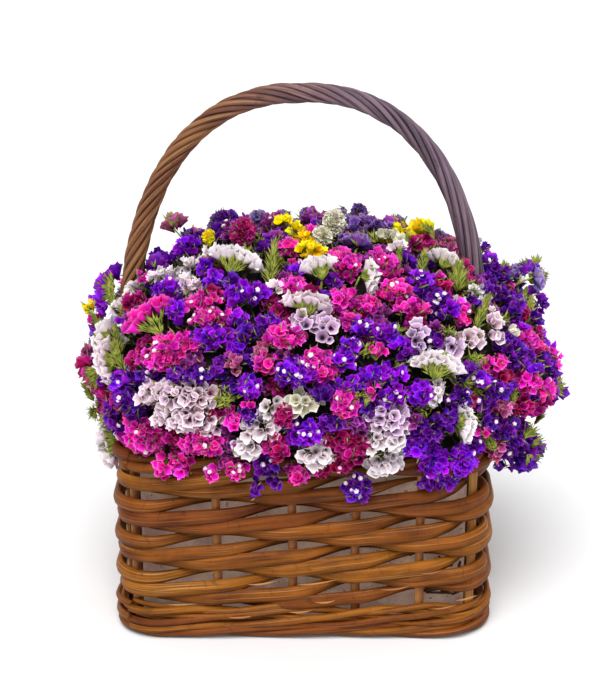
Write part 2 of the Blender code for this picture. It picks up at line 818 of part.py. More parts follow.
def make_heads(shop):
    """All the flower heads, each with the florets that lie nearest to it."""
    rng = random.Random(HEAD_SEED)
    heads = head_places()
    shares = [[] for _ in heads]
    for floret in floret_places():
        nearest = min(range(len(heads)), key=lambda index: (heads[index][0] - floret[0]).length)
        shares[nearest].append(floret)
    radii = core_radii(heads)
    for number, (head, radius, florets) in enumerate(zip(heads, radii, shares), start=1):
        make_head(number, (*head, radius), florets, rng, shop)


def make_bract(start, direction, length, radius):
    """One pointed green bract or leaf, as a slim three-sided spike."""
    work = bmesh.new()
    bmesh.ops.create_cone(work, cap_ends=True, segments=3, radius1=radius, radius2=0.0,
                          depth=length)
    bmesh.ops.translate(work, verts=work.verts, vec=(0, 0, length / 2))
    frame = frame_at(start, direction, 0.0)
    bmesh.ops.transform(work, matrix=frame, verts=work.verts)
    return mesh_object("bract", work)


def make_stem(number, foot, hub, heads, rng, shop):
    """One green stem with a branch to each head it carries, and bracts along the branches."""
    rise = Vector((foot.x, foot.y, FOAM_TOP + STEM_CLEAR_OF_FOAM))
    top = hub + (hub - rise).normalized() * BRANCH_RADIUS
    stem = to_mesh(path_curve(f"green_stem_{number}", [foot, rise, top], STEM_RADIUS), shop)
    stem.name = f"green_stem_{number}"
    extras = []
    for point, normal in heads:
        under = point - normal * (CORE_DEPTH + CORE_HALF_THICKNESS + SEAT)
        bend = under - normal * BRANCH_END
        start = hub - (bend - hub).normalized() * BRANCH_RADIUS
        branch = to_mesh(path_curve("branch", [start, bend, under], BRANCH_RADIUS, sides_level=0),
                         shop)
        extras.append(branch)
        away = (bend - start).normalized()
        side = away.orthogonal().normalized()
        for index in range(BRACTS_A_BRANCH):
            bearing = 2 * math.pi * (index + rng.random() * BRACT_SCATTER) / BRACTS_A_BRANCH
            turn = Matrix.Rotation(bearing, 4, away)
            direction = (away + (turn @ side) * BRACT_LEAN).normalized()
            root = start.lerp(bend, BRACT_FIRST + BRACT_SPACING * index)
            tip = root + direction * BRACT_LENGTH
            if abs(tip.y) < HANDLE_BRACT_STEP and abs(tip.x) > HANDLE_HALF_SPAN / 2:
                continue
            extras.append(make_bract(root, direction, BRACT_LENGTH, BRACT_RADIUS))
    shop.add(join_all(stem, extras, shop), "green")


def make_stems(shop):
    """The eight green stems, each with the heads that lie nearest its bearing."""
    rng = random.Random(STEM_SEED)
    places = stem_places()
    carried = [[] for _ in places]
    for point, normal, _ in head_places():
        flat = Vector(((point.x - MOUND_CENTRE.x) / MOUND_HALF_SIZE.x, point.y / MOUND_HALF_SIZE.y))
        bearing = math.atan2(flat.x, -flat.y) % (2 * math.pi)
        sector = int(bearing / (2 * math.pi) * STEM_COUNT) % STEM_COUNT
        carried[sector].append((point, normal))
    for number, ((foot, hub), heads) in enumerate(zip(places, carried), start=1):
        make_stem(number, foot, hub, heads, rng, shop)


def main():
    """Builds the whole basket."""
    clear_scene()
    shop = Workshop()
    wall = WallPath()
    body, sockets = make_base(wall, shop)
    shop.add(cut_all(body, sockets, shop), "stake")
    for number in range(ROD_COUNT):
        make_weaver(number, wall, shop)
    make_foot(wall, shop)
    make_rim(wall, shop)
    make_handle(shop)
    make_liner(wall, shop)
    make_foam(wall, shop)
    make_heads(shop)
    make_stems(shop)


main()
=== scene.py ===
"""Looks of the dried statice: a woven basket with a roped handle and a mound of papery flowers.

Metres, +Z up, -Y towards the viewer. Sizes inside the classes are in millimetres and are turned
into metres when a mesh is made. The flowers' bunches are placed by where they show in the
photograph, on the mound that carries them, and the back and the sides are filled by a seeded rule.
"""

import logging
import math
from dataclasses import dataclass, field, replace
from enum import Enum

import bpy
import numpy as np
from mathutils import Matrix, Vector


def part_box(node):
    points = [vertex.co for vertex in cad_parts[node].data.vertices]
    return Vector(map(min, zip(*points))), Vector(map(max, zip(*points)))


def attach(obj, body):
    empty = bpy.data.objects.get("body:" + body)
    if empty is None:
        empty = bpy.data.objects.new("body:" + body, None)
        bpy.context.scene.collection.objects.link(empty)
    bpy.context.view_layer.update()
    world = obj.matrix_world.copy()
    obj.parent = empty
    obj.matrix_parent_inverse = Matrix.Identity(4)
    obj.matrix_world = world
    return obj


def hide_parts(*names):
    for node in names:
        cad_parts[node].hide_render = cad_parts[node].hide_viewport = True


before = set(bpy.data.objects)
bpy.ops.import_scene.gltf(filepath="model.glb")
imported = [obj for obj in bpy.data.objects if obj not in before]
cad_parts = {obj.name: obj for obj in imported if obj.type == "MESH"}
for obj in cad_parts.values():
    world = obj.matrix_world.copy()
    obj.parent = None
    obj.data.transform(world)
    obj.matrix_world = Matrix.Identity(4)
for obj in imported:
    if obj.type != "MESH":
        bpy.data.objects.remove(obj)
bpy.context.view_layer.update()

logging.basicConfig(level=logging.INFO, format="%(message)s")
LOG = logging.getLogger("statice")

Array = np.ndarray
Material = bpy.types.Material
Colour = tuple[float, float, float, float]

MM = 0.001
TAU = 2 * math.pi
GOLDEN = TAU * 0.618034  # the turn from each place of a spiral to the next
UP = np.array([0, 0, 1.0])
BACKWARD = np.array([0, 1.0, 0])
WHITE: Colour = (1, 1, 1, 1)
BLACK: Colour = (0, 0, 0, 1)


# Small tools for arrays

def unit(vectors: Array) -> Array:
    """Vectors divided by their own lengths."""
    return vectors / np.maximum(np.linalg.norm(vectors, axis=-1, keepdims=True), 1e-9)


def smooth(low: float, high: float, values: Array) -> Array:
    """An S-shaped step from 0 at low to 1 at high: 3t squared minus 2t cubed."""
    share = np.clip((values - low) / (high - low), 0, 1)
    return share * share * (3 - 2 * share)


def circle(count: int) -> Array:
    """Angles of even places round a circle."""
    return np.arange(count) / count * TAU


def lengths(line: Array) -> Array:
    """The distance along a line of points, at each of them."""
    return np.concatenate([[0], np.cumsum(np.linalg.norm(np.diff(line, axis=0), axis=1))])


def linear(code: str) -> Colour:
    """The linear colour of a screen colour's six hexadecimal digits, with an alpha of 1."""
    screen = (int(code[i:i + 2], 16) / 255 for i in (0, 2, 4))
    return (*(c / 12.92 if c <= 0.04045 else ((c + 0.055) / 1.055) ** 2.4 for c in screen), 1.0)


def frames_along(line: Array, reference: Array) -> tuple[Array, Array]:
    """Two directions across a line at each point, square to it and to each other.

    Args:
        line: points by 3.
        reference: a direction that the line never follows.

    Returns:
        The tangent crossed with the reference, and that crossed with the tangent.
    """
    tangent = unit(np.gradient(line, axis=-2))
    across = unit(np.cross(tangent, reference))
    return across, np.cross(across, tangent)


def cross_frame(axis: Array, turn: Array) -> tuple[Array, Array]:
    """Two directions square to each axis and to each other.

    Args:
        axis: directions by 3.
        turn: how far each pair is turned about its axis.

    Returns:
        The axis crossed with a helper, and that crossed with it again, both turned.
    """
    helper = np.where(np.abs(axis[:, 2:]) < 0.8, [[0.0, 0.0, 1.0]], [[1.0, 0.0, 0.0]])
    side = unit(np.cross(axis, helper))
    other = np.cross(axis, side)
    cosine, sine = np.cos(turn)[:, None], np.sin(turn)[:, None]
    return side * cosine + other * sine, other * cosine - side * sine


def rings_about(foot: Array, axis: Array, turn: Array, along: Array, out: Array, columns: int,
                flat: float = 1.0) -> Array:
    """Rings of points: the foot, plus a way along the axis, plus a radius times the circle.

    Args:
        foot: where each shape starts, shapes by 3.
        axis: the way each shape points.
        turn: how far each is turned about its axis.
        along: the way along the axis, shapes by rings by columns or by 1.
        out: the radius, of the same form.
        columns: points round each ring.
        flat: stretch of the section's second direction.

    Returns:
        Points, shapes by rings by columns by 3.
    """
    side, other = cross_frame(axis, turn)
    angle = circle(columns)
    return (foot[:, None, None] + axis[:, None, None] * along[..., None]
            + side[:, None, None] * (out * np.cos(angle))[..., None]
            + other[:, None, None] * (out * flat * np.sin(angle))[..., None])


# Objects and meshes

def add_object(name: str, data: bpy.types.ID) -> bpy.types.Object:
    """A new object of the scene that shows some data."""
    thing = bpy.data.objects.new(name, data)
    bpy.context.scene.collection.objects.link(thing)
    return thing


def aim(thing: bpy.types.Object, toward: Array) -> None:
    """Turns a lamp or a camera to a direction."""
    thing.rotation_mode = "QUATERNION"
    thing.rotation_quaternion = Vector(toward).to_track_quat("-Z", "Y")


@dataclass
class Stock:
    """Points, faces and marks that grow into one mesh."""

    points: list[Array] = field(default_factory=list)
    faces: list[Array] = field(default_factory=list)
    corners: list[Array] = field(default_factory=list)
    finish: list[Array] = field(default_factory=list)
    reach: list[Array] = field(default_factory=list)
    tone: list[Array] = field(default_factory=list)

    def add(self, rings: Array, low: Array | None, high: Array | None, reach: Array | float,
            tone: Array, finish: int = 0, along: Array | None = None) -> None:
        """Adds shapes made of closed rings: quads between rings, triangles to a pole at an end.

        Args:
            rings: shapes by rings by columns by 3, in millimetres, counted so that the columns
                turn to the left as the last ring is looked at from outside.
            low: the pole before each shape's first ring, or None where that end is open.
            high: the pole after the last ring, or None.
            reach: a mark at each point, the poles last, from 0 at a root to 1 at a rim.
            tone: one random number for each shape.
            finish: index of the material on the finished mesh.
            along: the rings' UV heights, from 0 to 1 if they aren't given.
        """
        shapes, rows, columns = rings.shape[:3]
        poles = [pole[:, None] for pole in (low, high) if pole is not None]
        points = np.concatenate([rings.reshape(shapes, -1, 3), *poles], 1)
        first = sum(map(len, self.points)) + np.arange(shapes)[:, None, None] * points.shape[1]
        height = np.linspace(0, 1, rows) if along is None else along
        row, column = (grid.ravel() for grid in np.mgrid[:rows - 1, :columns])
        after = (column + 1) % columns
        ring, above = row * columns, (row + 1) * columns
        self.join(first, [ring + column, ring + after, above + after, above + column],
                  [column, column + 1, column + 1, column],
                  height[np.stack([row, row, row + 1, row + 1])], columns, finish)
        column, after = column[:columns], after[:columns]
        spread = [column, column + 1, column + 0.5]
        pole = np.full(columns, rows * columns)
        if low is not None:
            self.join(first, [after, column, pole], spread, np.full((3, columns), height[0]),
                      columns, finish)
        if high is not None:
            top = (rows - 1) * columns
            self.join(first, [top + column, top + after, pole + len(poles) - 1], spread,
                      np.full((3, columns), height[-1]), columns, finish)
        self.points.append(points.reshape(-1, 3))
        self.reach.append(np.broadcast_to(reach, points.shape[:2]).ravel())
        self.tone.append(np.repeat(tone, points.shape[1]))

    def join(self, first: Array, faces: list[Array], u: list[Array], v: Array, columns: int,
             finish: int) -> None:
        """Adds one group of faces to every shape.

        Args:
            first: the number of each shape's first point.
            faces: point numbers in a shape, corners by faces.
            u: the column of each corner, corners by faces.
            v: the UV height of each corner.
            columns: columns of the shape.
            finish: index of the material.
        """
        numbers = np.stack(faces, 1)
        spots = np.stack([np.stack(u, 1) / columns, v.T], 2)
        self.faces.append((numbers + first).reshape(-1, numbers.shape[1]))
        self.corners.append(np.tile(spots.reshape(-1, 2), (len(first), 1)))
        self.finish.append(np.full(len(first) * len(numbers), finish))

    def tube(self, line: Array, radius: Array, reference: Array, tone: float, sides: int = 10,
             tall: float = 1.0, wide: float = 1.0, open_side: Array | float = 0.9) -> None:
        """Adds a tube: centre plus radius times cosine across plus radius times sine up.

        Args:
            line: points by 3.
            radius: one radius for each point.
            reference: a direction that the line never follows.
            tone: a random number that tints the whole tube.
            sides: points round the tube.
            tall: stretch of the section along the reference.
            wide: stretch of the section across it.
            open_side: the angle of the section's side that is taken as lit; reach falls from 1 there
                to 0 behind, where the stick finish paints shade.
        """
        across, up = frames_along(line, reference)
        angle = circle(sides)
        section = (across[:, None] * np.cos(angle)[None, :, None] * wide
                   + up[:, None] * np.sin(angle)[None, :, None] * tall)
        # Painted shade: reach falls away from the side taken as lit, and the stick finish darkens
        # the wood where it is low.
        facing = np.broadcast_to(np.asarray(open_side, float), (len(line),))
        reach = 0.5 + 0.5 * np.cos(angle - facing[:, None])
        self.add((line[:, None] + section * radius[:, None, None])[None], line[:1], line[-1:],
                 np.append(reach, [0.5, 0.5]), np.array([tone]), 0, lengths(line) / 100)

    def make(self, name: str, materials: list[Material], slot: str, node: str = "") -> None:
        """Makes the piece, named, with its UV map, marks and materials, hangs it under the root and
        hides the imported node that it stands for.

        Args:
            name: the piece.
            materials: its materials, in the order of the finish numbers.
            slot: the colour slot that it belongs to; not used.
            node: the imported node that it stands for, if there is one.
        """
        mesh = bpy.data.meshes.new(name)
        points, corners = np.concatenate(self.points) * MM, np.concatenate(self.corners)
        loops = np.concatenate([faces.ravel() for faces in self.faces])
        counts = np.concatenate([np.full(len(faces), faces.shape[1]) for faces in self.faces])
        mesh.vertices.add(len(points))
        mesh.vertices.foreach_set("co", points.astype(np.float32).ravel())
        mesh.loops.add(len(loops))
        mesh.loops.foreach_set("vertex_index", loops.astype(np.int32))
        mesh.polygons.add(len(counts))
        mesh.polygons.foreach_set("loop_start", (np.cumsum(counts) - counts).astype(np.int32))
        mesh.polygons.foreach_set("material_index", np.concatenate(self.finish).astype(np.int32))
        mesh.update(calc_edges=True)
        layer = mesh.uv_layers.new(name="UVMap")
        layer.data.foreach_set("uv", corners.astype(np.float32).ravel())
        for title, values in (("reach", self.reach), ("tone", self.tone)):
            mark = mesh.attributes.new(title, "FLOAT", "POINT")
            mark.data.foreach_set("value", np.concatenate(values).astype(np.float32))
        mesh.shade_smooth()
        for material in materials:
            mesh.materials.append(material)
        piece = add_object(name, mesh)
        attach(piece, "root")
        if node:
            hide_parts(node)
        LOG.info("%s: %d faces", name, len(counts))


# Materials

class Value:
    """An output of a node; each of the signs + - * / makes one Math node."""

    def __init__(self, nodes: "Nodes", socket: bpy.types.NodeSocket) -> None:
        """Keeps the output and its tree."""
        self.nodes, self.socket = nodes, socket

    def also(self, key: str | int) -> "Value":
        """Another output of the same node."""
        return Value(self.nodes, self.socket.node.outputs[key])

    def math(self, operation: str, other: object = 0.0) -> "Value":
        """One Math node, with this output first."""
        return self.nodes.node("ShaderNodeMath", {0: self, 1: other}, operation=operation)

    def __add__(self, other: object) -> "Value":
        """This output plus a number or another output."""
        return self.math("ADD", other)

    def __sub__(self, other: object) -> "Value":
        """This output less a number or another output."""
        return self.math("SUBTRACT", other)

    def __rsub__(self, other: float) -> "Value":
        """A number less this output."""
        return self.nodes.node("ShaderNodeMath", {0: other, 1: self}, operation="SUBTRACT")

    def __mul__(self, other: object) -> "Value":
        """This output times a number or another output."""
        return self.math("MULTIPLY", other)

    def __truediv__(self, other: object) -> "Value":
        """This output divided by another."""
        return self.math("DIVIDE", other)

    def step(self, low: "float | Value", high: "float | Value") -> "Value":
        """A smooth step from 0 where this output is low to 1 where it is high."""
        return self.nodes.node("ShaderNodeMapRange", {0: self, 1: low, 2: high},
                               interpolation_type="SMOOTHSTEP")


class Nodes:
    """A short way to lay out a node tree, for a material or for a shared group."""

    def __init__(self, tree: bpy.types.NodeTree) -> None:
        """Takes over a tree."""
        self.tree = tree

    def feed(self, node: bpy.types.Node, inputs: dict[str | int, object]) -> None:
        """Sets a node's inputs.

        Args:
            node: the node.
            inputs: what each takes; a Value is linked, anything else becomes the default.
        """
        for key, value in inputs.items():
            if isinstance(value, Value):
                self.tree.links.new(value.socket, node.inputs[key])
            else:
                node.inputs[key].default_value = value

    def node(self, kind: str, inputs: dict[str | int, object] | None = None, out: int | str = 0,
             **settings: object) -> Value:
        """Adds a node.

        Args:
            kind: its type.
            inputs: what each input takes.
            out: the output that is wanted.
            **settings: the node's own settings.

        Returns:
            The wanted output.
        """
        node = self.tree.nodes.new(kind)
        for key, value in settings.items():
            setattr(node, key, value)
        self.feed(node, inputs or {})
        return Value(self, node.outputs[out])

    def mix(self, share: object, first: object, second: object) -> Value:
        """A mix of two colours."""
        return self.node("ShaderNodeMix", {0: share, 6: first, 7: second}, 2, data_type="RGBA")

    def group(self, tree: bpy.types.NodeTree, inputs: dict[str, object]) -> Value:
        """A shared group with its inputs set; its first output."""
        return self.node("ShaderNodeGroup", inputs, node_tree=tree)

    def noise(self, vector: Value, scale: float | Value, detail: float = 2.0,
              rough: float = 0.5) -> Value:
        """Noise of a scale."""
        return self.node("ShaderNodeTexNoise", {"Vector": vector, "Scale": scale,
                                                "Detail": detail, "Roughness": rough})

    def stretched(self, vector: Value, scale: tuple[float, float, float], shift: Value) -> Value:
        """Coordinates multiplied by a scale, then moved."""
        return self.node("ShaderNodeVectorMath", {0: vector, 1: scale, 2: shift},
                         operation="MULTIPLY_ADD")

    def mark(self, name: str) -> Value:
        """A number that the mesh carries at its points."""
        return self.node("ShaderNodeAttribute", out="Fac", attribute_name=name)

    def place(self, kind: str = "Object") -> Value:
        """Object or UV coordinates."""
        return self.node("ShaderNodeTexCoord", out=kind)

    def part(self, vector: Value, axis: int) -> Value:
        """One of a vector's three numbers."""
        return self.node("ShaderNodeSeparateXYZ", {0: vector}, axis)

    def shift(self, tone: Value, first: float, second: float) -> Value:
        """A vector that moves a pattern by a piece's tone."""
        return self.node("ShaderNodeCombineXYZ", {0: tone * first, 1: tone * second})


def shared_group(name: str, inputs: dict[str, float | Colour]) -> tuple[Nodes, Value]:
    """An empty shared group.

    Args:
        name: its name.
        inputs: the default of each input; four numbers make a colour.

    Returns:
        The layout helper, and an input, from which also() leads to the others.
    """
    tree = bpy.data.node_groups.new(name, "ShaderNodeTree")
    for title, default in inputs.items():
        kind = "NodeSocketColor" if isinstance(default, tuple) else "NodeSocketFloat"
        tree.interface.new_socket(title, in_out="INPUT", socket_type=kind).default_value = default
    nodes = Nodes(tree)
    return nodes, nodes.node("NodeGroupInput")


def put_out(nodes: Nodes, **results: Value) -> bpy.types.NodeTree:
    """Gives a shared group its outputs, of which Color is a colour.

    Args:
        nodes: the group's layout helper.
        **results: what each output gives.

    Returns:
        The group.
    """
    for title in results:
        kind = "NodeSocketColor" if title == "Color" else "NodeSocketFloat"
        nodes.tree.interface.new_socket(title, in_out="OUTPUT", socket_type=kind)
    nodes.feed(nodes.tree.nodes.new("NodeGroupOutput"), results)
    return nodes.tree


def petal_group() -> bpy.types.NodeTree:
    """Paper of a calyx: dark throat, coloured wall with veins, light rim, tinted by its tone.
    The light rim is a painted highlight; the dark throat is partly the calyx's own darker base and
    partly painted shade.

    Returns:
        The shared group.
    """
    nodes, given = shared_group("papery_calyx", {
        "Rim": WHITE, "Body": WHITE, "Deep": BLACK, "Vein": 0.3, "Spread": 0.4, "Throat": 0.6})
    reach, tone = nodes.mark("reach"), nodes.mark("tone")
    shift = nodes.shift(tone, 1.0, 37.0)
    veins = nodes.noise(nodes.stretched(nodes.place("UV"), (26, 2.2, 0), shift), 1.0, 3.0, 0.6)
    crumple = nodes.noise(nodes.place(), 420.0, 2.0, 0.6)
    # Painted shade in the throat: the wall darkens to the deep colour towards the calyx's foot,
    # partly its own darker base and partly shade.
    depth = reach - given.also("Throat") + 0.5
    wall = nodes.mix(depth.step(0.0, 0.5), given.also("Deep"), given.also("Body"))
    # Painted highlight: the rim lightens to the rim colour all round.
    paper = nodes.mix((reach + crumple * 0.22).step(0.88, 1.12), wall, given.also("Rim"))
    light = (veins - 0.5) * given.also("Vein") + (tone - 0.5) * given.also("Spread") + 1.0
    strewn = (tone * 7.3).math("FRACT") - 0.5
    hue = (crumple - 0.5) * 0.03 + 0.503 + strewn * 0.055
    tinted = nodes.node("ShaderNodeHueSaturation", {"Hue": hue, "Value": light, "Color": paper})
    return put_out(nodes, Color=tinted, Height=veins + crumple)


def stick_group() -> bpy.types.NodeTree:
    """Peeled stick: long fine fibres, lighter and darker lengths, and dark rings at its joints,
    with paler streaks that are partly grain and partly painted highlight, and painted shade on
    the side away from the light.

    Returns:
        The shared group.
    """
    nodes, given = shared_group("peeled_stick", {
        "Light": WHITE, "Dark": BLACK, "Streak": WHITE, "Mark": BLACK, "Fibre": 0.5,
        "Spread": 0.4, "Rings": 1.0, "Groove": 0.8, "Open": 0.6})
    tone, place, body = nodes.mark("tone"), nodes.place("UV"), nodes.place()
    shift = nodes.shift(tone, 11.0, 53.0)
    fibres = nodes.noise(nodes.stretched(place, (14, 1.6, 0), shift), 1.0, 5.0, 0.62)
    stains = nodes.noise(nodes.stretched(place, (1.2, 1.3, 0), shift), 1.0)
    fine = nodes.noise(nodes.stretched(place, (34, 1.0, 0), shift), 1.0)
    blots = nodes.noise(body, 90.0, 3.0, 0.6)
    cloud = nodes.noise(body, 34.0, 4.0, 0.65)
    share = (fibres - 0.5) * given.also("Fibre") + (stains * 0.45 + cloud * 0.5)
    wood = nodes.mix(share.step(0.12, 0.78), given.also("Dark"), given.also("Light"))
    # Paler streaks along the stick: partly grain, partly painted highlight.
    wood = nodes.mix(fine.step(0.56, 0.7) * 0.4, wood, given.also("Streak"))
    steps = nodes.part(place, 1) * 1.3 + tone * 7.0 + stains * 0.5
    joint = (steps.math("FRACT") - 0.5).math("ABSOLUTE")
    ring = (1.0 - joint.step(0.004, 0.016)) * given.also("Rings")
    flecks = blots.step(0.6, 0.72) * 0.4
    # Painted shade: the wood turns to the mark colour on the side away from the side taken as lit,
    # so the mark colour serves joints, flecks and shade.
    groove = 1.0 - (nodes.mark("reach") / given.also("Open")).math("SMOOTH_MIN", 1.0)
    marks = ring.math("MAXIMUM", flecks).math("MAXIMUM", groove * given.also("Groove"))
    marked = nodes.mix(marks, wood, given.also("Mark"))
    light = (tone - 0.5) * given.also("Spread") + 1.0
    hue = (tone - 0.5) * 0.018 + 0.5
    tinted = nodes.node("ShaderNodeHueSaturation", {"Hue": hue, "Value": light, "Color": marked})
    return put_out(nodes, Color=tinted, Height=fibres, Roughness=fibres * 0.3 + 0.4)


def mottled_group() -> bpy.types.NodeTree:
    """Two colours mottled by broad noise, with a third at the tips or in spots of fine noise.

    Returns:
        The shared group.
    """
    nodes, given = shared_group("mottled_surface", {
        "Light": WHITE, "Dark": BLACK, "Spot": BLACK, "Scale": 60.0, "Spots": 0.7, "Tipped": 0.0})
    place, scale = nodes.place(), given.also("Scale")
    spots, tipped = given.also("Spots"), given.also("Tipped")
    broad = nodes.noise(place, scale, 4.0, 0.6)
    fine = nodes.noise(place, scale * 7.0, 3.0, 0.6)
    mottled = nodes.mix(broad.step(0.32, 0.68), given.also("Dark"), given.also("Light"))
    tips = (nodes.mark("reach") + broad * 0.5).step(0.98, 1.3)
    share = tips * tipped + fine.step(spots, spots + 0.08) * (1.0 - tipped)
    spotted = nodes.mix(share, mottled, given.also("Spot"))
    tinted = nodes.node("ShaderNodeHueSaturation", {"Value": fine * 0.5 + 0.75, "Color": spotted})
    return put_out(nodes, Color=tinted, Height=fine)


def new_material(name: str) -> tuple[Material, Nodes]:
    """A material with its Principled shader, and its layout helper."""
    material = bpy.data.materials.new(name)
    material.use_nodes = True
    return material, Nodes(material.node_tree)


def dress(nodes: Nodes, height: Value, strength: float, relief: float,
          **inputs: object) -> None:
    """Feeds a material's Principled shader.

    Args:
        nodes: the material's layout helper.
        height: what the bump follows.
        strength: the bump's strength.
        relief: the bump's depth in millimetres.
        **inputs: the shader's inputs, with underscores for spaces.
    """
    bump = nodes.node("ShaderNodeBump", {"Height": height, "Strength": strength,
                                         "Distance": relief * MM})
    shader = nodes.tree.nodes["Principled BSDF"]
    nodes.feed(shader, {key.replace("_", " "): value for key, value in inputs.items()})
    nodes.feed(shader, {"Normal": bump})


@dataclass(frozen=True)
class PetalFinish:
    """Paper of one colour, from its rim to its throat: the light rim is a painted highlight, and the
    dark throat is partly painted shade.
    """

    slot: str
    # rim is the painted highlight's colour; deep is the throat's colour, partly painted shade.
    rim: str
    body: str
    deep: str
    vein: float = 1.25
    spread: float = 0.7
    throat: float = 0.62

    def make(self, name: str, tree: bpy.types.NodeTree) -> Material:
        """The material, with the shared paper group in it.

        Args:
            name: its name.
            tree: the shared paper group.

        Returns:
            The material.
        """
        material, nodes = new_material(name)
        colour = nodes.group(tree, {
            "Rim": linear(self.rim), "Body": linear(self.body), "Deep": linear(self.deep),
            "Vein": self.vein, "Throat": self.throat, "Spread": self.spread})
        dress(nodes, colour.also("Height"), 0.5, 0.5, Base_Color=colour, Roughness=0.62,
              Specular_IOR_Level=0.1)
        return material


@dataclass(frozen=True)
class StickFinish:
    """Peeled or stained stick, with fibres, joints and flecks, paler streaks that are partly painted
    highlight, and painted shade on its side away from the light.
    """

    name: str
    light: str
    dark: str
    mark: str
    streak: str
    fibre: float = 1.2
    spread: float = 0.35
    rings: float = 0.8
    # How strong the painted shade on the side away from the light is, and the reach below which it
    # begins.
    groove: float = 0.8
    opening: float = 0.6
    far_light: str = ""
    far_dark: str = ""
    upper_shade: float = 0.0

    def make(self, tree: bpy.types.NodeTree) -> Material:
        """The material, with the shared stick group in it.

        With far colours it turns to them from the left to the right, and with an upper shade it
        darkens under the flowers.

        Args:
            tree: the shared stick group.

        Returns:
            The material.
        """
        material, nodes = new_material(self.name)
        light: object = linear(self.light)
        dark: object = linear(self.dark)
        if self.far_light:
            turn = nodes.part(nodes.place(), 0).step(-0.09, 0.06)
            light = nodes.mix(turn, light, linear(self.far_light))
            dark = nodes.mix(turn, dark, linear(self.far_dark))
        colour = stick = nodes.group(tree, {
            "Light": light, "Dark": dark, "Mark": linear(self.mark),
            "Streak": linear(self.streak), "Fibre": self.fibre, "Spread": self.spread,
            "Rings": self.rings, "Groove": self.groove, "Open": self.opening})
        if self.upper_shade:
            high = nodes.part(nodes.place(), 2).step(0.095, 0.15)
            colour = nodes.mix(high * self.upper_shade, stick, linear(self.mark))
        dress(nodes, stick.also("Height"), 0.55, 0.6, Base_Color=colour,
              Roughness=stick.also("Roughness"), Specular_IOR_Level=0.18)
        return material


@dataclass(frozen=True)
class MottledFinish:
    """Paper, foam, board or leaf: two colours mottled by noise, with a third in spots.

    A tipped finish has its third colour at the tips. The glow is painted light: an emission
    that brightens the paper liner, which lies in shade behind the weave.
    """

    name: str
    light: str
    dark: str
    spot: str
    scale: float = 60.0
    spots: float = 0.7
    roughness: float = 0.85
    relief: float = 0.4
    tipped: bool = False
    painted_glow: float = 0.0

    def make(self, tree: bpy.types.NodeTree) -> Material:
        """The material, with the shared mottled group in it.

        Args:
            tree: the shared mottled group.

        Returns:
            The material.
        """
        material, nodes = new_material(self.name)
        colour = nodes.group(tree, {
            "Light": linear(self.light), "Dark": linear(self.dark), "Spot": linear(self.spot),
            "Scale": self.scale, "Spots": self.spots, "Tipped": float(self.tipped)})
        # Painted light: an emission in the surface's own colour, though it is no lamp.
        lit = {"Emission_Color": colour, "Emission_Strength": self.painted_glow} if self.painted_glow else {}
        dress(nodes, colour.also("Height"), 0.5, self.relief, Base_Color=colour,
              Roughness=self.roughness, Specular_IOR_Level=0.3, **lit)
        return material


class Tint(Enum):
    """The colours of statice in the basket: slot, rim, body and throat. The rim is a painted
    highlight, and the throat is partly the calyx's own darker base and partly painted shade.
    """

    PURPLE = PetalFinish("purple_statice", "a838ec", "8e08d0", "480680")
    VIOLET = PetalFinish("violet_statice", "8438c4", "66109c", "300850")
    MAGENTA = PetalFinish("magenta_statice", "fa68d0", "e41cb8", "a81078")
    CERISE = PetalFinish("magenta_statice", "d2409a", "ae0e6c", "6c0840")
    PLUM = PetalFinish("plum_statice", "b85cb4", "8e2a8c", "420e46")
    DUSKY = PetalFinish("dusky_statice", "a480c4", "6c469c", "2e1a4c")
    LAVENDER = PetalFinish("lavender_statice", "b6a2da", "8670b4", "3a305c")
    ROSE = PetalFinish("plum_statice", "e88cc0", "bc5288", "5c283c")
    WHITE = PetalFinish("white_statice", "fffcfd", "eee0e6", "7c6e5c", 0.25, 0.14)
    BLUSH = PetalFinish("pale_statice", "fff4f8", "dcc0d0", "5c3c4a", 0.3, 0.16, 0.68)
    LILAC = PetalFinish("pale_statice", "fae8f6", "d2b2d4", "583c58", 0.3, 0.18, 0.68)
    CREAM = PetalFinish("white_statice", "fbf8ec", "dcd6c0", "8c8466", 0.35, 0.2, 0.5)
    YELLOW = PetalFinish("yellow_statice", "fff238", "fce004", "b89c04", 0.3, 0.2)


class Form(Enum):
    """How a bunch is built."""

    DOME = "open funnels spread over a low dome"
    FAN = "a side-on fan of funnels over a row of green bracts"
    BUDS = "small closed dried funnels all round an egg"
    SPIKE = "an upright spike of green bracts"
    STAR = "wide open funnels on a flat spray, with dark gaps"


# The camera, shared by the picture and by the bunches that are placed by how they show

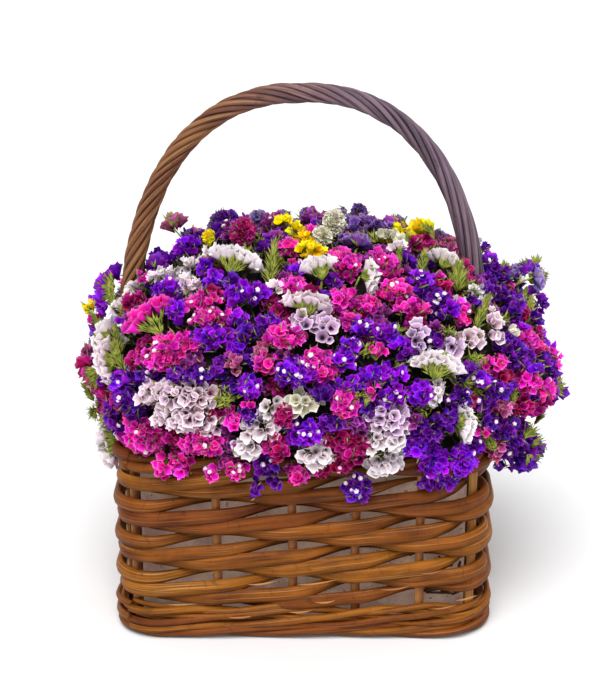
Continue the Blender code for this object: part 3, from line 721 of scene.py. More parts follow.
@dataclass(frozen=True)
class View:
    """The camera: distance, height of its target and angle, and the photograph's frame."""

    distance: float = 1500.0
    target: tuple[float, float, float] = (-2.9, 0, 212.73)
    down: float = math.radians(20)
    focal: float = 1796.59
    width: int = 600
    height: int = 700

    def axes(self) -> tuple[Array, Array, Array, Array]:
        """Position in millimetres, and the forward, right and up directions."""
        forward = np.array([0, math.cos(self.down), -math.sin(self.down)])
        up = np.array([0, math.sin(self.down), math.cos(self.down)])
        return self.target - forward * self.distance, forward, np.array([1.0, 0, 0]), up

    def rays(self, across: Array, down: Array) -> tuple[Array, Array]:
        """The rays through some places of the photograph.

        Args:
            across: pixels from the photograph's left.
            down: pixels from its top.

        Returns:
            Their start, and a direction for each.
        """
        start, forward, right, up = self.axes()
        rays = (forward + right * ((across - self.width / 2) / self.focal)[:, None]
                + up * ((self.height / 2 - down) / self.focal)[:, None])
        return start, rays

    def shows(self, points: Array) -> tuple[Array, Array]:
        """Where points show in the photograph.

        Args:
            points: points by 3.

        Returns:
            Pixels from its left, and pixels from its top.
        """
        start, forward, right, up = self.axes()
        apart = points - start
        depth = apart @ forward
        return (self.width / 2 + self.focal * (apart @ right) / depth,
                self.height / 2 - self.focal * (apart @ up) / depth)

    def make(self) -> None:
        """Makes the camera and gives it to the scene."""
        start, forward, _, _ = self.axes()
        data = bpy.data.cameras.new("camera")
        data.sensor_width = 36
        data.lens = self.focal / self.height * data.sensor_width
        data.clip_start, data.clip_end = 0.05, 40
        camera = add_object("camera", data)
        camera.location = Vector(start) * MM
        aim(camera, forward)
        bpy.context.scene.camera = camera


VIEW = View()


@dataclass(frozen=True)
class Seat:
    """A place on the mound with its right, up and outward directions."""

    point: Array
    right: Array
    up: Array
    out: Array

    def moved(self, distance: float) -> "Seat":
        """The same place moved outwards."""
        return replace(self, point=self.point + self.out * distance)

    def toward(self, turn: float) -> Array:
        """The direction along the mound at a turn from the right."""
        return self.right * math.cos(turn) + self.up * math.sin(turn)

    def plot(self, shoots: "Shoots", width: float, height: float) -> "Plot":
        """The plot of a bunch of some width and height that grows here."""
        return Plot(self.point, self.right, self.up, self.out, shoots, width, height)


@dataclass(frozen=True)
class Mound:
    """The rounded dome on which the flowers' mouths lie: a superellipsoid.

    Bunches that show below hang_below, between the sides of hang_across, hang over the rim on
    the upright plane hang_front.
    """

    centre: tuple[float, float, float] = (12.0, 0.0, 203.0)
    half: tuple[float, float, float] = (194.0, 138.0, 120.0)
    power: float = 2.4
    hang_below: float = 458.0
    hang_across: tuple[float, float] = (112.0, 497.0)
    hang_front: float = -122.0

    def level(self, scaled: Array) -> Array:
        """Plan powers summed, to the 2/power, plus height squared: 1 on the surface."""
        plan = (np.abs(scaled[..., :2]) ** self.power).sum(-1) ** (2 / self.power)
        return plan + scaled[..., 2] ** 2

    def scaled(self, points: Array) -> Array:
        """Points seen from the centre, by the dome's half sizes."""
        return (points - np.array(self.centre)) / np.array(self.half)

    def surface(self, toward: Array, inset: float = 0.0) -> Array:
        """Where some scaled directions meet the dome, or a dome that is smaller by an inset."""
        size = np.sqrt(self.level(toward))[..., None]
        return np.array(self.centre) + toward / size * (np.array(self.half) - inset)

    def normal(self, points: Array) -> Array:
        """Outward directions: the level's slope by small differences.

        Args:
            points: points by 3.

        Returns:
            Directions by 3.
        """
        step = np.eye(3) * 0.5
        ahead, behind = (self.level(self.scaled(points[:, None] + side * step))
                         for side in (1, -1))
        return unit(ahead - behind)

    def lattice(self, count: int, lowest: float) -> Array:
        """Points spread evenly round the dome by the golden angle.

        Args:
            count: how many.
            lowest: how low they go, where the dome reaches from -1 to 1.

        Returns:
            Points by 3.
        """
        number = np.arange(count) + 0.5
        height = 1 - (1 - lowest) * number / count
        ring = np.sqrt(1 - height * height)
        return self.surface(np.stack([ring * np.cos(number * GOLDEN),
                                      ring * np.sin(number * GOLDEN), height], 1))

    def meet(self, across: Array, down: Array) -> Array:
        """Where rays through the photograph first meet the dome, or pass nearest to it.

        Args:
            across: pixels from the photograph's left.
            down: pixels from its top.

        Returns:
            Points on the dome, or on the plane on which the lowest bunches hang.
        """
        start, rays = VIEW.rays(across, down)
        steps = np.linspace(VIEW.distance - 260, VIEW.distance + 240, 1001)
        points = start + rays[:, None] * steps[None, :, None]
        level = self.level(self.scaled(points))
        inside = level <= 1
        first = np.where(inside.any(1), inside.argmax(1), level.argmin(1))
        met = points[np.arange(len(points)), first]
        left, right = self.hang_across
        hangs = (down > self.hang_below) & (across > left) & (across < right)
        reach = (self.hang_front - start[1]) / rays[:, 1]
        return np.where(hangs[:, None], start + rays * reach[:, None], met)

    def seats(self, points: Array, toward: float = 0.0) -> list[Seat]:
        """Seats at some points of the dome.

        Args:
            points: places on the dome.
            toward: how much the outward direction leans to the camera, so that a bunch at the
                dome's edge still shows its listed width.

        Returns:
            One seat for each point.
        """
        _, forward, right, up = VIEW.axes()
        normal = unit(self.normal(points) - forward * toward)
        across, rise = (unit(way - normal * (normal @ way)[:, None] * 0.85) for way in (right, up))
        return [Seat(*row) for row in zip(points, across, rise, normal)]


MOUND = Mound()

# Edge of the flowers in the picture, in its pixels, from the lower left round over the back
FLOWER_EDGE = np.array([
    (98, 468), (100, 455), (93, 440), (99, 412), (102, 403), (95, 394), (86, 385), (79, 376),
    (72, 366), (77, 357), (81, 349), (89, 340), (89, 322), (82, 313), (80, 303), (92, 296),
    (95, 277), (107, 268), (112, 261), (126, 262), (148, 248), (158, 240), (162, 216), (172, 211),
    (184, 214), (190, 226), (206, 228), (210, 214), (221, 208), (240, 209), (262, 208), (270, 214),
    (282, 208), (291, 212), (300, 207), (311, 205), (320, 212), (331, 207), (352, 205), (360, 200),
    (368, 206), (373, 216), (383, 219), (398, 217), (410, 223), (422, 219), (440, 226), (452, 234),
    (464, 240), (480, 236), (491, 243), (494, 256), (501, 265), (512, 268), (522, 264), (532, 261),
    (542, 266), (549, 277), (546, 290), (550, 304), (546, 320), (547, 338), (560, 346), (567, 356),
    (564, 366), (560, 376), (569, 396), (553, 404), (540, 411), (516, 419), (530, 427), (540, 437),
    (545, 450), (541, 463), (534, 475), (520, 475), (508, 467), (500, 474), (500, 520), (110, 520),
    (108, 476)], float)
FLOWER_MIDDLE = (318, 350)


def within(across: Array, down: Array) -> Array:
    """Tells which places lie inside the flowers' edge.

    Args:
        across: pixels from the photograph's left.
        down: pixels from its top.

    Returns:
        True where a ray to the right crosses the edge an odd number of times.
    """
    first, second = FLOWER_EDGE, np.roll(FLOWER_EDGE, -1, 0)
    spans = (first[:, 1] > down[:, None]) != (second[:, 1] > down[:, None])
    rise = np.where(first[:, 1] == second[:, 1], 1, second[:, 1] - first[:, 1])
    cross = first[:, 0] + (down[:, None] - first[:, 1]) * (second[:, 0] - first[:, 0]) / rise
    return (spans & (across[:, None] < cross)).sum(1) % 2 == 1


def drawn_in(points: Array, margin: float = 3.0) -> Array:
    """Points moved towards the mound's middle until they show inside the flowers' edge.

    Args:
        points: places on the mound.
        margin: how far inside they have to show, in pixels.

    Returns:
        The moved points.
    """
    middle = np.array(MOUND.centre) - 20 * UP
    moved = points.copy()
    for _ in range(14):
        shown = np.stack(VIEW.shows(moved), 1)
        away = shown - FLOWER_MIDDLE
        away = away / np.maximum(np.linalg.norm(away, axis=1, keepdims=True), 1) * margin
        out = ~within(*(shown + away).T)
        if not out.any():
            break
        moved[out] = middle + (moved[out] - middle) * 0.975
    return moved


@dataclass(frozen=True)
class Bunch:
    """One bunch of calyces, as it shows in the photograph.

    across and down are the place of its middle in the photograph's pixels, width and height its
    size there, turn the way a fan or spike points in degrees from the right, and dots how many
    white corollas it bears. A bunch with no tint is green.
    """

    tint: Tint | None
    form: Form
    across: float
    down: float
    width: float
    height: float
    turn: float = 90.0
    dots: int = 0


# Letters for the table of bunches: their tints, their forms and green
P, V, M, C, N = Tint.PURPLE, Tint.VIOLET, Tint.MAGENTA, Tint.CERISE, Tint.PLUM
Q, A, O, Y = Tint.DUSKY, Tint.LAVENDER, Tint.ROSE, Tint.YELLOW
W, B, L, K = Tint.WHITE, Tint.BLUSH, Tint.LILAC, Tint.CREAM
D, F, U, S, R = Form.DOME, Form.FAN, Form.BUDS, Form.SPIKE, Form.STAR
G = None

BUNCHES = tuple(Bunch(*row) for row in (
    # Back edge of the mound, as it shows from the left to the right
    (O, F, 174, 219, 24, 16, 95), (Q, D, 194, 234, 28, 14), (P, D, 187, 246, 30, 18),
    (Y, U, 210, 240, 13, 16), (Q, U, 213, 218, 22, 20), (V, U, 226, 217, 20, 22),
    (C, U, 243, 232, 24, 26), (A, U, 259, 218, 18, 26), (Y, D, 273, 217, 17, 14),
    (Y, D, 285, 221, 19, 15), (Y, D, 297, 228, 20, 16), (Y, D, 305, 239, 19, 17),
    (Y, D, 317, 250, 21, 16), (Y, D, 303, 247, 17, 14), (A, U, 309, 214, 18, 22),
    (A, U, 283, 211, 15, 9), (M, D, 310, 230, 12, 12), (K, U, 334, 222, 22, 26),
    (K, U, 322, 236, 20, 18), (A, U, 341, 209, 11, 10), (A, U, 348, 221, 12, 12),
    (Q, U, 360, 208, 18, 13), (Q, D, 371, 226, 42, 24), (Q, F, 358, 240, 24, 12, 80),
    (Y, U, 395, 222, 13, 9), (Y, U, 406, 220, 10, 9), (K, D, 392, 235, 26, 14),
    (W, D, 398, 247, 18, 11), (K, U, 420, 220, 12, 8), (N, D, 424, 230, 26, 14),
    (C, D, 420, 244, 30, 18), (A, U, 440, 234, 14, 12), (O, D, 450, 245, 18, 26),
    (G, S, 407, 240, 10, 16, 80), (V, U, 487, 245, 11, 9), (W, U, 480, 238, 9, 10),
    (W, D, 519, 272, 20, 16),
    # Upper left
    (W, F, 236, 259, 48, 27, 70), (G, S, 272, 264, 26, 42, 85), (M, D, 286, 245, 24, 18),
    (V, D, 156, 254, 18, 16), (P, D, 205, 265, 16, 26), (W, D, 187, 260, 14, 12),
    (W, D, 163, 272, 34, 14), (B, D, 188, 285, 28, 18), (P, F, 104, 282, 40, 26, 150),
    (P, F, 103, 296, 34, 20, 185), (G, S, 112, 296, 18, 24, 100), (Y, U, 86, 306, 8, 18),
    (C, D, 131, 300, 20, 26), (P, D, 168, 290, 34, 30, 90, 4), (M, D, 144, 278, 15, 12),
    (P, D, 213, 277, 22, 20), (V, D, 232, 280, 18, 16), (P, D, 249, 293, 44, 22, 90, 2),
    (P, D, 176, 311, 20, 18), (M, D, 202, 300, 36, 22, 90, 2), (M, D, 212, 317, 46, 18, 90, 4),
    (M, F, 150, 318, 42, 34, 125), (P, D, 211, 335, 46, 22), (P, D, 237, 317, 22, 16),
    (V, D, 248, 331, 24, 20), (P, D, 267, 320, 20, 18), (B, F, 307, 303, 38, 24, 85),
    (W, D, 277, 286, 13, 15), (M, D, 292, 285, 26, 20, 90, 1), (L, R, 307, 320, 26, 24),
    (L, R, 328, 326, 22, 34), (M, D, 283, 336, 40, 24, 90, 2), (O, D, 261, 352, 20, 18),
    (W, F, 319, 267, 30, 22, 100), (P, D, 296, 269, 20, 15), (W, F, 103, 338, 40, 16, 165),
    (G, S, 117, 338, 18, 26, 100), (P, D, 115, 321, 16, 14), (C, D, 94, 321, 12, 14),
    (V, D, 93, 336, 11, 14), (O, U, 86, 350, 16, 14), (M, D, 174, 344, 46, 24, 90, 2),
    (C, F, 90, 380, 44, 26, 215), (B, F, 106, 362, 42, 16, 185), (G, S, 118, 357, 20, 28, 110),
    (C, D, 134, 360, 14, 20), (M, D, 163, 358, 54, 26, 90, 3), (V, D, 145, 374, 24, 20, 90, 1),
    (P, D, 122, 382, 30, 30, 90, 1), (V, D, 128, 398, 36, 24, 90, 1), (V, D, 107, 408, 20, 18),
    (V, D, 116, 426, 30, 14, 90, 1),
    # Lower left, down to the rim
    (B, R, 178, 396, 80, 34), (B, R, 186, 418, 66, 30), (B, R, 205, 430, 30, 18),
    (V, D, 175, 374, 22, 16), (V, D, 202, 374, 28, 16, 90, 1), (V, D, 219, 367, 20, 20),
    (G, D, 225, 398, 22, 24), (V, D, 231, 386, 20, 18), (P, D, 249, 386, 26, 24, 90, 1),
    (O, D, 234, 362, 22, 18), (P, D, 298, 372, 44, 28, 90, 5), (M, D, 266, 362, 24, 22),
    (M, D, 316, 360, 26, 24, 90, 1), (M, D, 247, 403, 13, 12), (W, R, 271, 410, 32, 24),
    (W, R, 260, 430, 38, 26), (W, R, 247, 450, 30, 24), (K, R, 302, 404, 38, 24),
    (M, D, 232, 419, 18, 20), (C, D, 283, 416, 18, 22), (P, D, 306, 434, 34, 26, 90, 4),
    (M, D, 141, 438, 38, 36, 90, 2), (M, D, 131, 456, 22, 22, 90, 2), (W, F, 106, 440, 54, 22, 190),
    (C, D, 172, 438, 30, 18), (M, D, 203, 444, 46, 26, 90, 3), (M, D, 162, 468, 17, 22),
    (M, D, 179, 465, 20, 22), (M, D, 213, 472, 16, 20, 90, 1), (M, D, 235, 469, 24, 20, 90, 2),
    (C, D, 279, 450, 18, 28), (V, D, 266, 468, 24, 18, 90, 2), (V, D, 255, 487, 14, 18),
    (V, D, 276, 482, 14, 14), (M, D, 297, 474, 22, 24), (W, R, 314, 456, 38, 28),
    (C, D, 340, 462, 26, 26, 90, 2), (V, D, 357, 490, 26, 30, 90, 4),
    # Right half
    (M, D, 343, 262, 34, 34, 90, 3), (M, D, 380, 253, 18, 20), (M, D, 388, 268, 26, 26, 90, 1),
    (M, D, 396, 290, 34, 24, 90, 2), (M, D, 413, 307, 34, 16), (M, D, 368, 302, 26, 20),
    (M, D, 342, 300, 32, 26), (M, D, 350, 319, 22, 18), (W, F, 371, 277, 26, 16, 0),
    (G, S, 398, 259, 14, 20, 80), (W, F, 446, 260, 30, 18, 60), (G, S, 423, 262, 18, 22, 80),
    (M, D, 441, 274, 14, 10), (G, S, 458, 280, 36, 20, 85), (P, D, 422, 282, 26, 22, 90, 3),
    (V, D, 437, 300, 34, 28, 90, 7), (P, D, 447, 308, 24, 16), (V, D, 474, 299, 18, 12),
    (W, U, 474, 289, 12, 8), (V, D, 488, 264, 28, 22, 90, 1), (V, D, 502, 274, 22, 20, 90, 1),
    (V, D, 498, 289, 34, 16, 90, 1), (V, D, 518, 295, 26, 14, 90, 1), (A, F, 523, 266, 14, 9, 100),
    (V, F, 534, 263, 12, 8, 70), (A, F, 543, 276, 14, 14, 10), (G, S, 531, 275, 12, 16, 100),
    (V, D, 535, 288, 16, 9), (V, D, 544, 303, 14, 16), (V, D, 515, 309, 18, 14),
    (V, D, 537, 318, 16, 12), (G, S, 531, 305, 14, 14, 90), (M, D, 462, 312, 15, 28, 90, 2),
    (G, S, 483, 311, 20, 34, 70), (B, R, 494, 325, 20, 34), (B, R, 475, 338, 28, 24),
    (L, R, 453, 347, 26, 18), (K, D, 515, 331, 14, 12), (G, D, 452, 330, 18, 16),
    (G, D, 506, 318, 16, 14), (V, D, 508, 342, 26, 26), (M, D, 531, 339, 28, 18),
    (M, D, 556, 354, 18, 14), (O, D, 547, 346, 14, 12), (P, D, 362, 327, 24, 18, 90, 1),
    (P, D, 384, 332, 28, 18, 90, 1), (P, D, 399, 340, 24, 14), (P, D, 350, 345, 22, 16, 90, 1),
    (L, R, 418, 336, 20, 36), (V, D, 434, 337, 18, 20, 90, 1), (M, D, 380, 350, 18, 12),
    (P, D, 346, 357, 24, 22, 90, 3), (G, D, 369, 350, 20, 16), (W, F, 437, 363, 50, 25, 80),
    (G, S, 441, 362, 16, 18, 70), (P, D, 384, 373, 44, 17, 90, 1), (M, D, 325, 374, 28, 16),
    (P, D, 393, 395, 26, 24, 90, 3), (P, D, 421, 393, 26, 24, 90, 1), (W, D, 436, 392, 14, 28),
    (M, D, 345, 404, 26, 30, 90, 1), (L, R, 388, 419, 46, 30), (W, R, 378, 441, 28, 22),
    (W, R, 397, 437, 26, 26), (W, R, 386, 466, 38, 32), (V, D, 460, 397, 22, 22, 90, 2),
    (V, D, 447, 418, 26, 20), (V, D, 430, 432, 30, 26), (W, F, 466, 420, 38, 16, 10),
    (P, D, 481, 379, 20, 16, 90, 2), (V, D, 500, 390, 28, 20, 90, 1), (M, D, 497, 362, 26, 18),
    (V, D, 518, 354, 28, 26), (P, D, 531, 368, 22, 14), (M, D, 531, 381, 24, 22),
    (C, D, 547, 397, 22, 20), (C, D, 526, 409, 26, 18), (V, F, 558, 386, 30, 14, 10),
    (M, D, 560, 365, 14, 12), (V, D, 488, 404, 16, 24, 90, 1), (V, D, 492, 424, 20, 16, 90, 1),
    (O, D, 504, 406, 22, 20), (G, S, 513, 396, 14, 18, 80),
    # Lower right, down to the rim
    (P, D, 418, 448, 26, 26), (P, D, 436, 466, 26, 34, 90, 2), (P, D, 462, 462, 30, 30, 90, 2),
    (P, D, 474, 448, 26, 24, 90, 1), (V, D, 428, 486, 20, 16), (V, D, 450, 482, 26, 16),
    (G, S, 489, 441, 18, 26, 130), (O, D, 497, 451, 18, 22), (M, D, 484, 431, 14, 10),
    (V, F, 528, 428, 26, 15, 65), (V, F, 538, 441, 24, 16, 15), (V, F, 531, 460, 26, 16, 310),
    (V, D, 509, 429, 28, 22, 90, 1), (V, D, 511, 450, 22, 18, 90, 2),
    (V, D, 512, 466, 24, 14, 90, 1), (V, D, 526, 450, 32, 24, 90, 2), (V, D, 515, 442, 28, 22),
    (C, D, 350, 446, 30, 34), (C, D, 322, 469, 18, 20), (N, D, 358, 425, 26, 22),
    (V, D, 330, 423, 26, 18), (V, D, 322, 392, 26, 16), (P, D, 352, 384, 34, 16),
    (G, D, 362, 396, 22, 16), (G, D, 452, 374, 22, 16), (V, D, 465, 371, 22, 18),
    (G, D, 478, 358, 24, 14), (M, D, 372, 390, 16, 12),
))


# Calyces, corollas, bracts and stalks

@dataclass
class Shoots:
    """What grows in one piece of one tint: rows of numbers for each calyx, bract or stalk."""

    tint: Tint
    calyces: list[Array] = field(default_factory=list)
    open_calyces: list[Array] = field(default_factory=list)
    bracts: list[Array] = field(default_factory=list)
    stalks: list[Array] = field(default_factory=list)
    corollas: list[Array] = field(default_factory=list)


@dataclass(frozen=True)
class Plot(Seat):
    """A seat on which one bunch grows, with its shoots and its size in millimetres."""

    shoots: Shoots
    width: float
    height: float


@dataclass(frozen=True)
class Profile:
    """The rings of a calyx from its foot to its rim, with the points round each in columns.

    share is how far each ring is along the calyx, spread its share of the radius, and fold the
    depth of its pleats.
    """

    share: tuple[float, ...]
    spread: tuple[float, ...]
    fold: tuple[float, ...]
    columns: int


PLAIN_PROFILE = Profile((0.52, 1.0), (0.44, 1.0), (0.04, 0.13), 16)
OPEN_PROFILE = Profile((0.34, 0.76, 1.0), (0.3, 0.7, 1.0), (0.02, 0.05, 0.09), 15)
PAPER, GREEN, COROLLA = range(3)  # the finish numbers of a flower piece


@dataclass(frozen=True)
class Grower:
    """Turns rows of numbers into meshes of calyces, corollas, bracts and stalks.

    A calyx's rim is crumpled outwards and upwards, and tilts by up to a share of its radius.
    """

    lobes: int = 5
    crumpled_out: float = 1.25
    crumpled_up: float = 2.1
    rim_tilt: float = 0.42
    corolla_columns: int = 10

    def grow(self, shoots: Shoots) -> Stock:
        """Turns all the rows of one piece into meshes.

        Args:
            shoots: the rows.

        Returns:
            The stock with everything that grows there.
        """
        stock = Stock()
        if shoots.calyces:
            self.calyces(stock, np.concatenate(shoots.calyces), PLAIN_PROFILE)
        if shoots.open_calyces:
            self.calyces(stock, np.concatenate(shoots.open_calyces), OPEN_PROFILE)
        if shoots.bracts:
            self.bracts(stock, np.concatenate(shoots.bracts), GREEN)
        if shoots.stalks:
            self.stalks(stock, np.concatenate(shoots.stalks))
        if shoots.corollas:
            self.corollas(stock, np.concatenate(shoots.corollas))
        return stock

    def calyces(self, stock: Stock, rows: Array, profile: Profile) -> None:
        """Papery funnels, pleated and crumpled at the rim.

        A point is the mouth, less the part of the length below it along the axis, plus the
        radius times the circle. Radius and height swing with the cosine of the lobes times the
        angle, more so towards the rim, and the rim tilts to one side.

        Args:
            stock: where they go.
            rows: mouth, axis, radius, length, flare, turn, tone and ruffle of each.
            profile: their rings.
        """
        mouth, axis = rows[:, 0:3], unit(rows[:, 3:6])
        radius, length, flare, turn, tone, ruffle = rows[:, 6:12].T[..., None, None]
        share, spread, fold = (np.array(values)[:, None] for values in (
            profile.share, profile.spread, profile.fold))
        columns = profile.columns
        wave = np.cos(self.lobes * circle(columns)) * fold
        rng = np.random.default_rng(5)
        crumple = rng.uniform(-1, 1, (len(rows), len(share), columns)) * fold
        tilt = rng.uniform(0.0, self.rim_tilt, radius.shape) * np.cos(
            circle(columns) - rng.uniform(0, TAU, radius.shape)) * spread
        pleated = 1 + wave * ruffle + crumple * self.crumpled_out
        out = radius * (0.45 + 0.55 * flare) * spread * pleated
        lift = (wave + crumple * self.crumpled_up + tilt) * radius * 0.9
        rings = rings_about(mouth, axis, turn.ravel(), lift - (1 - share) * length, out, columns)
        reach = np.append(np.repeat(share, columns), 0.0)
        stock.add(rings, mouth - axis * length[:, 0], None, reach, tone.ravel(), PAPER)

    def corollas(self, stock: Stock, rows: Array) -> None:
        """Small white corollas: a domed disc whose edge swings with five lobes.

        Args:
            stock: where they go.
            rows: centre, axis, radius, turn and tone of each.
        """
        centre, axis = rows[:, 0:3], unit(rows[:, 3:6])
        radius, turn, tone = rows[:, 6:9].T
        columns = self.corolla_columns
        edge = radius[:, None] * (1 + 0.1 * np.cos(self.lobes * circle(columns)))
        along = radius[:, None, None] * np.array([[0.0], [0.5]])
        rings = rings_about(centre, axis, turn, along, edge[:, None] * np.array([[1.0], [0.55]]),
                            columns)
        reach = np.append(np.repeat([1.0, 0.7], columns), [0.0, 0.4])
        stock.add(rings, centre - axis * (0.7 * radius)[:, None],
                  centre + axis * (0.42 * radius)[:, None], reach, tone, COROLLA)

    def bracts(self, stock: Stock, rows: Array, finish: int) -> None:
        """Pointed bracts: a three-sided blade, widest at a third of its length.

        Args:
            stock: where they go.
            rows: base, axis, length, width, turn and tone of each.
            finish: index of their material.
        """
        base, axis = rows[:, 0:3], unit(rows[:, 3:6])
        length, width, turn, tone = rows[:, 6:10].T
        rings = rings_about(base, axis, turn, length[:, None, None] * np.array([[0.0], [0.35]]),
                            width[:, None, None] / 2 * np.array([[0.35], [1.0]]), 3, 0.5)
        stock.add(rings, base, base + axis * length[:, None],
                  np.array([0, 0, 0, 0.4, 0.4, 0.4, 0, 1]), tone, finish)

    def stalks(self, stock: Stock, rows: Array) -> None:
        """Thin four-sided stalks.

        Args:
            stock: where they go.
            rows: start, end, radius and tone of each.
        """
        start, end, radius, tone = rows[:, 0:3], rows[:, 3:6], rows[:, 6], rows[:, 7]
        length = np.linalg.norm(end - start, axis=1)[:, None, None]
        rings = rings_about(start, unit(end - start), tone * TAU, length * np.array([[0], [1]]),
                            radius[:, None, None] * np.array([[1], [0.8]]), 4)
        reach = np.append(np.repeat([0, 0.6], 4), [0, 0.6])
        stock.add(rings, start, end, reach, tone, GREEN)


@dataclass(frozen=True)
class Habit:
    """How the funnels of a domed bunch stand, in millimetres and shares."""

    spacing: float
    radius: float
    rise: float
    uneven: float
    skyward: float
    loose: float


@dataclass(frozen=True)
class Layer:
    """One layer of a fan: its lift, share of the depth, funnels fewer and outward lean."""

    lift: float
    share: float
    fewer: int
    outward: float


HABITS = {Form.DOME: Habit(4.4, 3.75, 0.5, 1.7, 0.32, 0.46),
          Form.STAR: Habit(6.7, 4.7, 0.26, 1.0, 0.1, 0.2)}
FAN_LAYERS = (Layer(1.5, 1.0, 0, 0.15), Layer(-4.0, 1.02, 0, 0.15), Layer(5.0, 0.84, 1, 0.45))


@dataclass(frozen=True)
class Arranger:
    """Places the calyces of each bunch, in millimetres. Pairs are ranges to draw from."""

    rng: np.random.Generator
    packing: float = 0.82
    strewing: float = 0.18
    crown: float = 0.55
    settling: tuple[float, float] = (-4, 3)
    root_depth: float = 9.0
    root_share: float = 0.3
    radii: tuple[float, float] = (0.7, 1.2)
    lengths: tuple[float, float] = (1.7, 2.3)
    foot: float = 1.9
    stalk_radius: float = 0.6
    stem_radius: float = 1.1
    stem_share: float = 0.24
    corollas_per_dot: float = 1.5
    corolla_radii: tuple[float, float] = (1.7, 2.4)
    corolla_lift: float = 0.6
    leaf_count: int = 5
    bud_radius: float = 2.7
    bud_room: float = 13.0
    fan_wide: float = 1.25
    fan_funnel: float = 6.0
    fan_radii: tuple[float, float] = (4.8, 6.2)

    def around(self, count: int) -> tuple[Array, Array]:
        """Numbers from 0.5 on and the golden angle's turns, begun at random."""
        number = np.arange(count) + 0.5
        return number, number * GOLDEN + self.rng.random() * TAU

    def calyces(self, rows: list[Array], mouth: Array, axis: Array, radius: Array, length: Array,
                flare: float) -> None:
        """Adds calyces to a list, each with its own turn, tone and ruffle.

        Args:
            rows: the list.
            mouth: the middles of their mouths.
            axis: the ways they face.
            radius: their radii.
            length: their lengths.
            flare: how wide they open, from 0 to 1.
        """
        free = self.rng.random((len(mouth), 3))
        rows.append(np.column_stack([mouth, axis, radius, length, np.full(len(mouth), flare),
                                     free[:, 0] * TAU, free[:, 1], 0.75 + 0.5 * free[:, 2]]))

    def bracts(self, plot: Plot, base: Array, axis: Array, length: Array | tuple[float, float],
               width: tuple[float, float]) -> None:
        """Adds pointed bracts, each with its own turn and tone.

        Args:
            plot: the bunch.
            base: their feet.
            axis: the ways they point.
            length: their lengths, or the range of them.
            width: the range of their widths.
        """
        count = len(base)
        long = self.rng.uniform(*length, count) if isinstance(length, tuple) else length
        wide = self.rng.uniform(*width, count)
        free = self.rng.random((count, 2))
        plot.shoots.bracts.append(np.column_stack([base, axis, long, wide, free[:, 0] * TAU,
                                                   free[:, 1]]))

    def stem(self, plot: Plot, top: Array, radius: float) -> None:
        """A stem from under a bunch into the mound."""
        foot = top + (np.array(MOUND.centre) - 10 * UP - top) * self.stem_share
        plot.shoots.stalks.append(np.array([[*foot, *top, radius, self.rng.random()]]))

    def cups(self, plot: Plot, feet: Array, axis: Array) -> None:
        """A green bract at each calyx's foot."""
        aside, _ = cross_frame(axis, self.rng.random(len(axis)) * TAU)
        lean = unit(axis + aside * 0.42 + self.rng.normal(0, 0.16, feet.shape))
        self.bracts(plot, feet - axis * 1.5 + aside * 1.2, lean, (6, 12.5), (1.4, 2.5))

    def leaves(self, plot: Plot, mouth: Array, axis: Array) -> None:
        """Tufts of narrow green leaves at each place."""
        base = np.repeat(mouth - axis * 7, self.leaf_count, 0)
        lean = unit(np.repeat(axis, self.leaf_count, 0) + self.rng.normal(0, 0.45, base.shape))
        self.bracts(plot, base, lean, (6, 11), (1.5, 3.0))

    def dome(self, plot: Plot, tint: Tint | None, form: Form = Form.DOME, dots: int = 0) -> None:
        """Open funnels over a dome, spread by the golden angle, their roots under its middle.

        Args:
            plot: the bunch.
            tint: its tint; with none it is a tuft of leaves.
            form: a dome or a star.
            dots: how many white corollas it bears.
        """
        habit = HABITS[form]
        across, rise = plot.width - habit.radius, plot.height - habit.radius
        room = habit.spacing ** 2 * self.packing
        count = max(3, int(round(math.pi / 4 * across * rise / room)))
        number, angle = self.around(count)
        out = np.sqrt(number / count)
        places = np.stack([out * np.cos(angle) * across / 2, out * np.sin(angle) * rise / 2], 1)
        places = places + self.rng.normal(0, habit.spacing * self.strewing, places.shape)
        small = min(plot.width, plot.height)
        level = small * habit.rise * (self.crown - out ** 2) + self.rng.uniform(*self.settling)
        level = level[:, None] + self.rng.normal(0, habit.uneven, (count, 1))
        mouth = drawn_in(plot.point + plot.right * places[:, :1] + plot.up * places[:, 1:]
                         + plot.out * level)
        root = plot.point - plot.out * (self.root_depth + self.root_share * small)
        axis = unit(unit(mouth - root) + plot.out * 0.15 + UP * habit.skyward
                    + self.rng.normal(0, habit.loose, mouth.shape))
        radius = habit.radius * self.rng.uniform(*self.radii, count)
        if tint is None:
            self.leaves(plot, mouth, axis)
            return
        rows = plot.shoots.open_calyces if form is Form.STAR else plot.shoots.calyces
        length = radius * self.rng.uniform(*self.lengths, count)
        self.calyces(rows, mouth, axis, radius, length, 1.0)
        feet = mouth - axis * (radius * self.foot)[:, None]
        tops = feet[::3]
        plot.shoots.stalks.append(np.column_stack([
            np.broadcast_to(root, tops.shape), tops, np.full(len(tops), self.stalk_radius),
            self.rng.random(len(tops))]))
        self.cups(plot, feet, axis)
        if dots:
            chosen = self.rng.permutation(count)[:round(dots * self.corollas_per_dot)]
            centre = mouth[chosen] + axis[chosen] * self.corolla_lift
            plot.shoots.corollas.append(np.column_stack([
                centre, axis[chosen], self.rng.uniform(*self.corolla_radii, len(chosen)),
                self.rng.random((len(chosen), 2)) * TAU]))

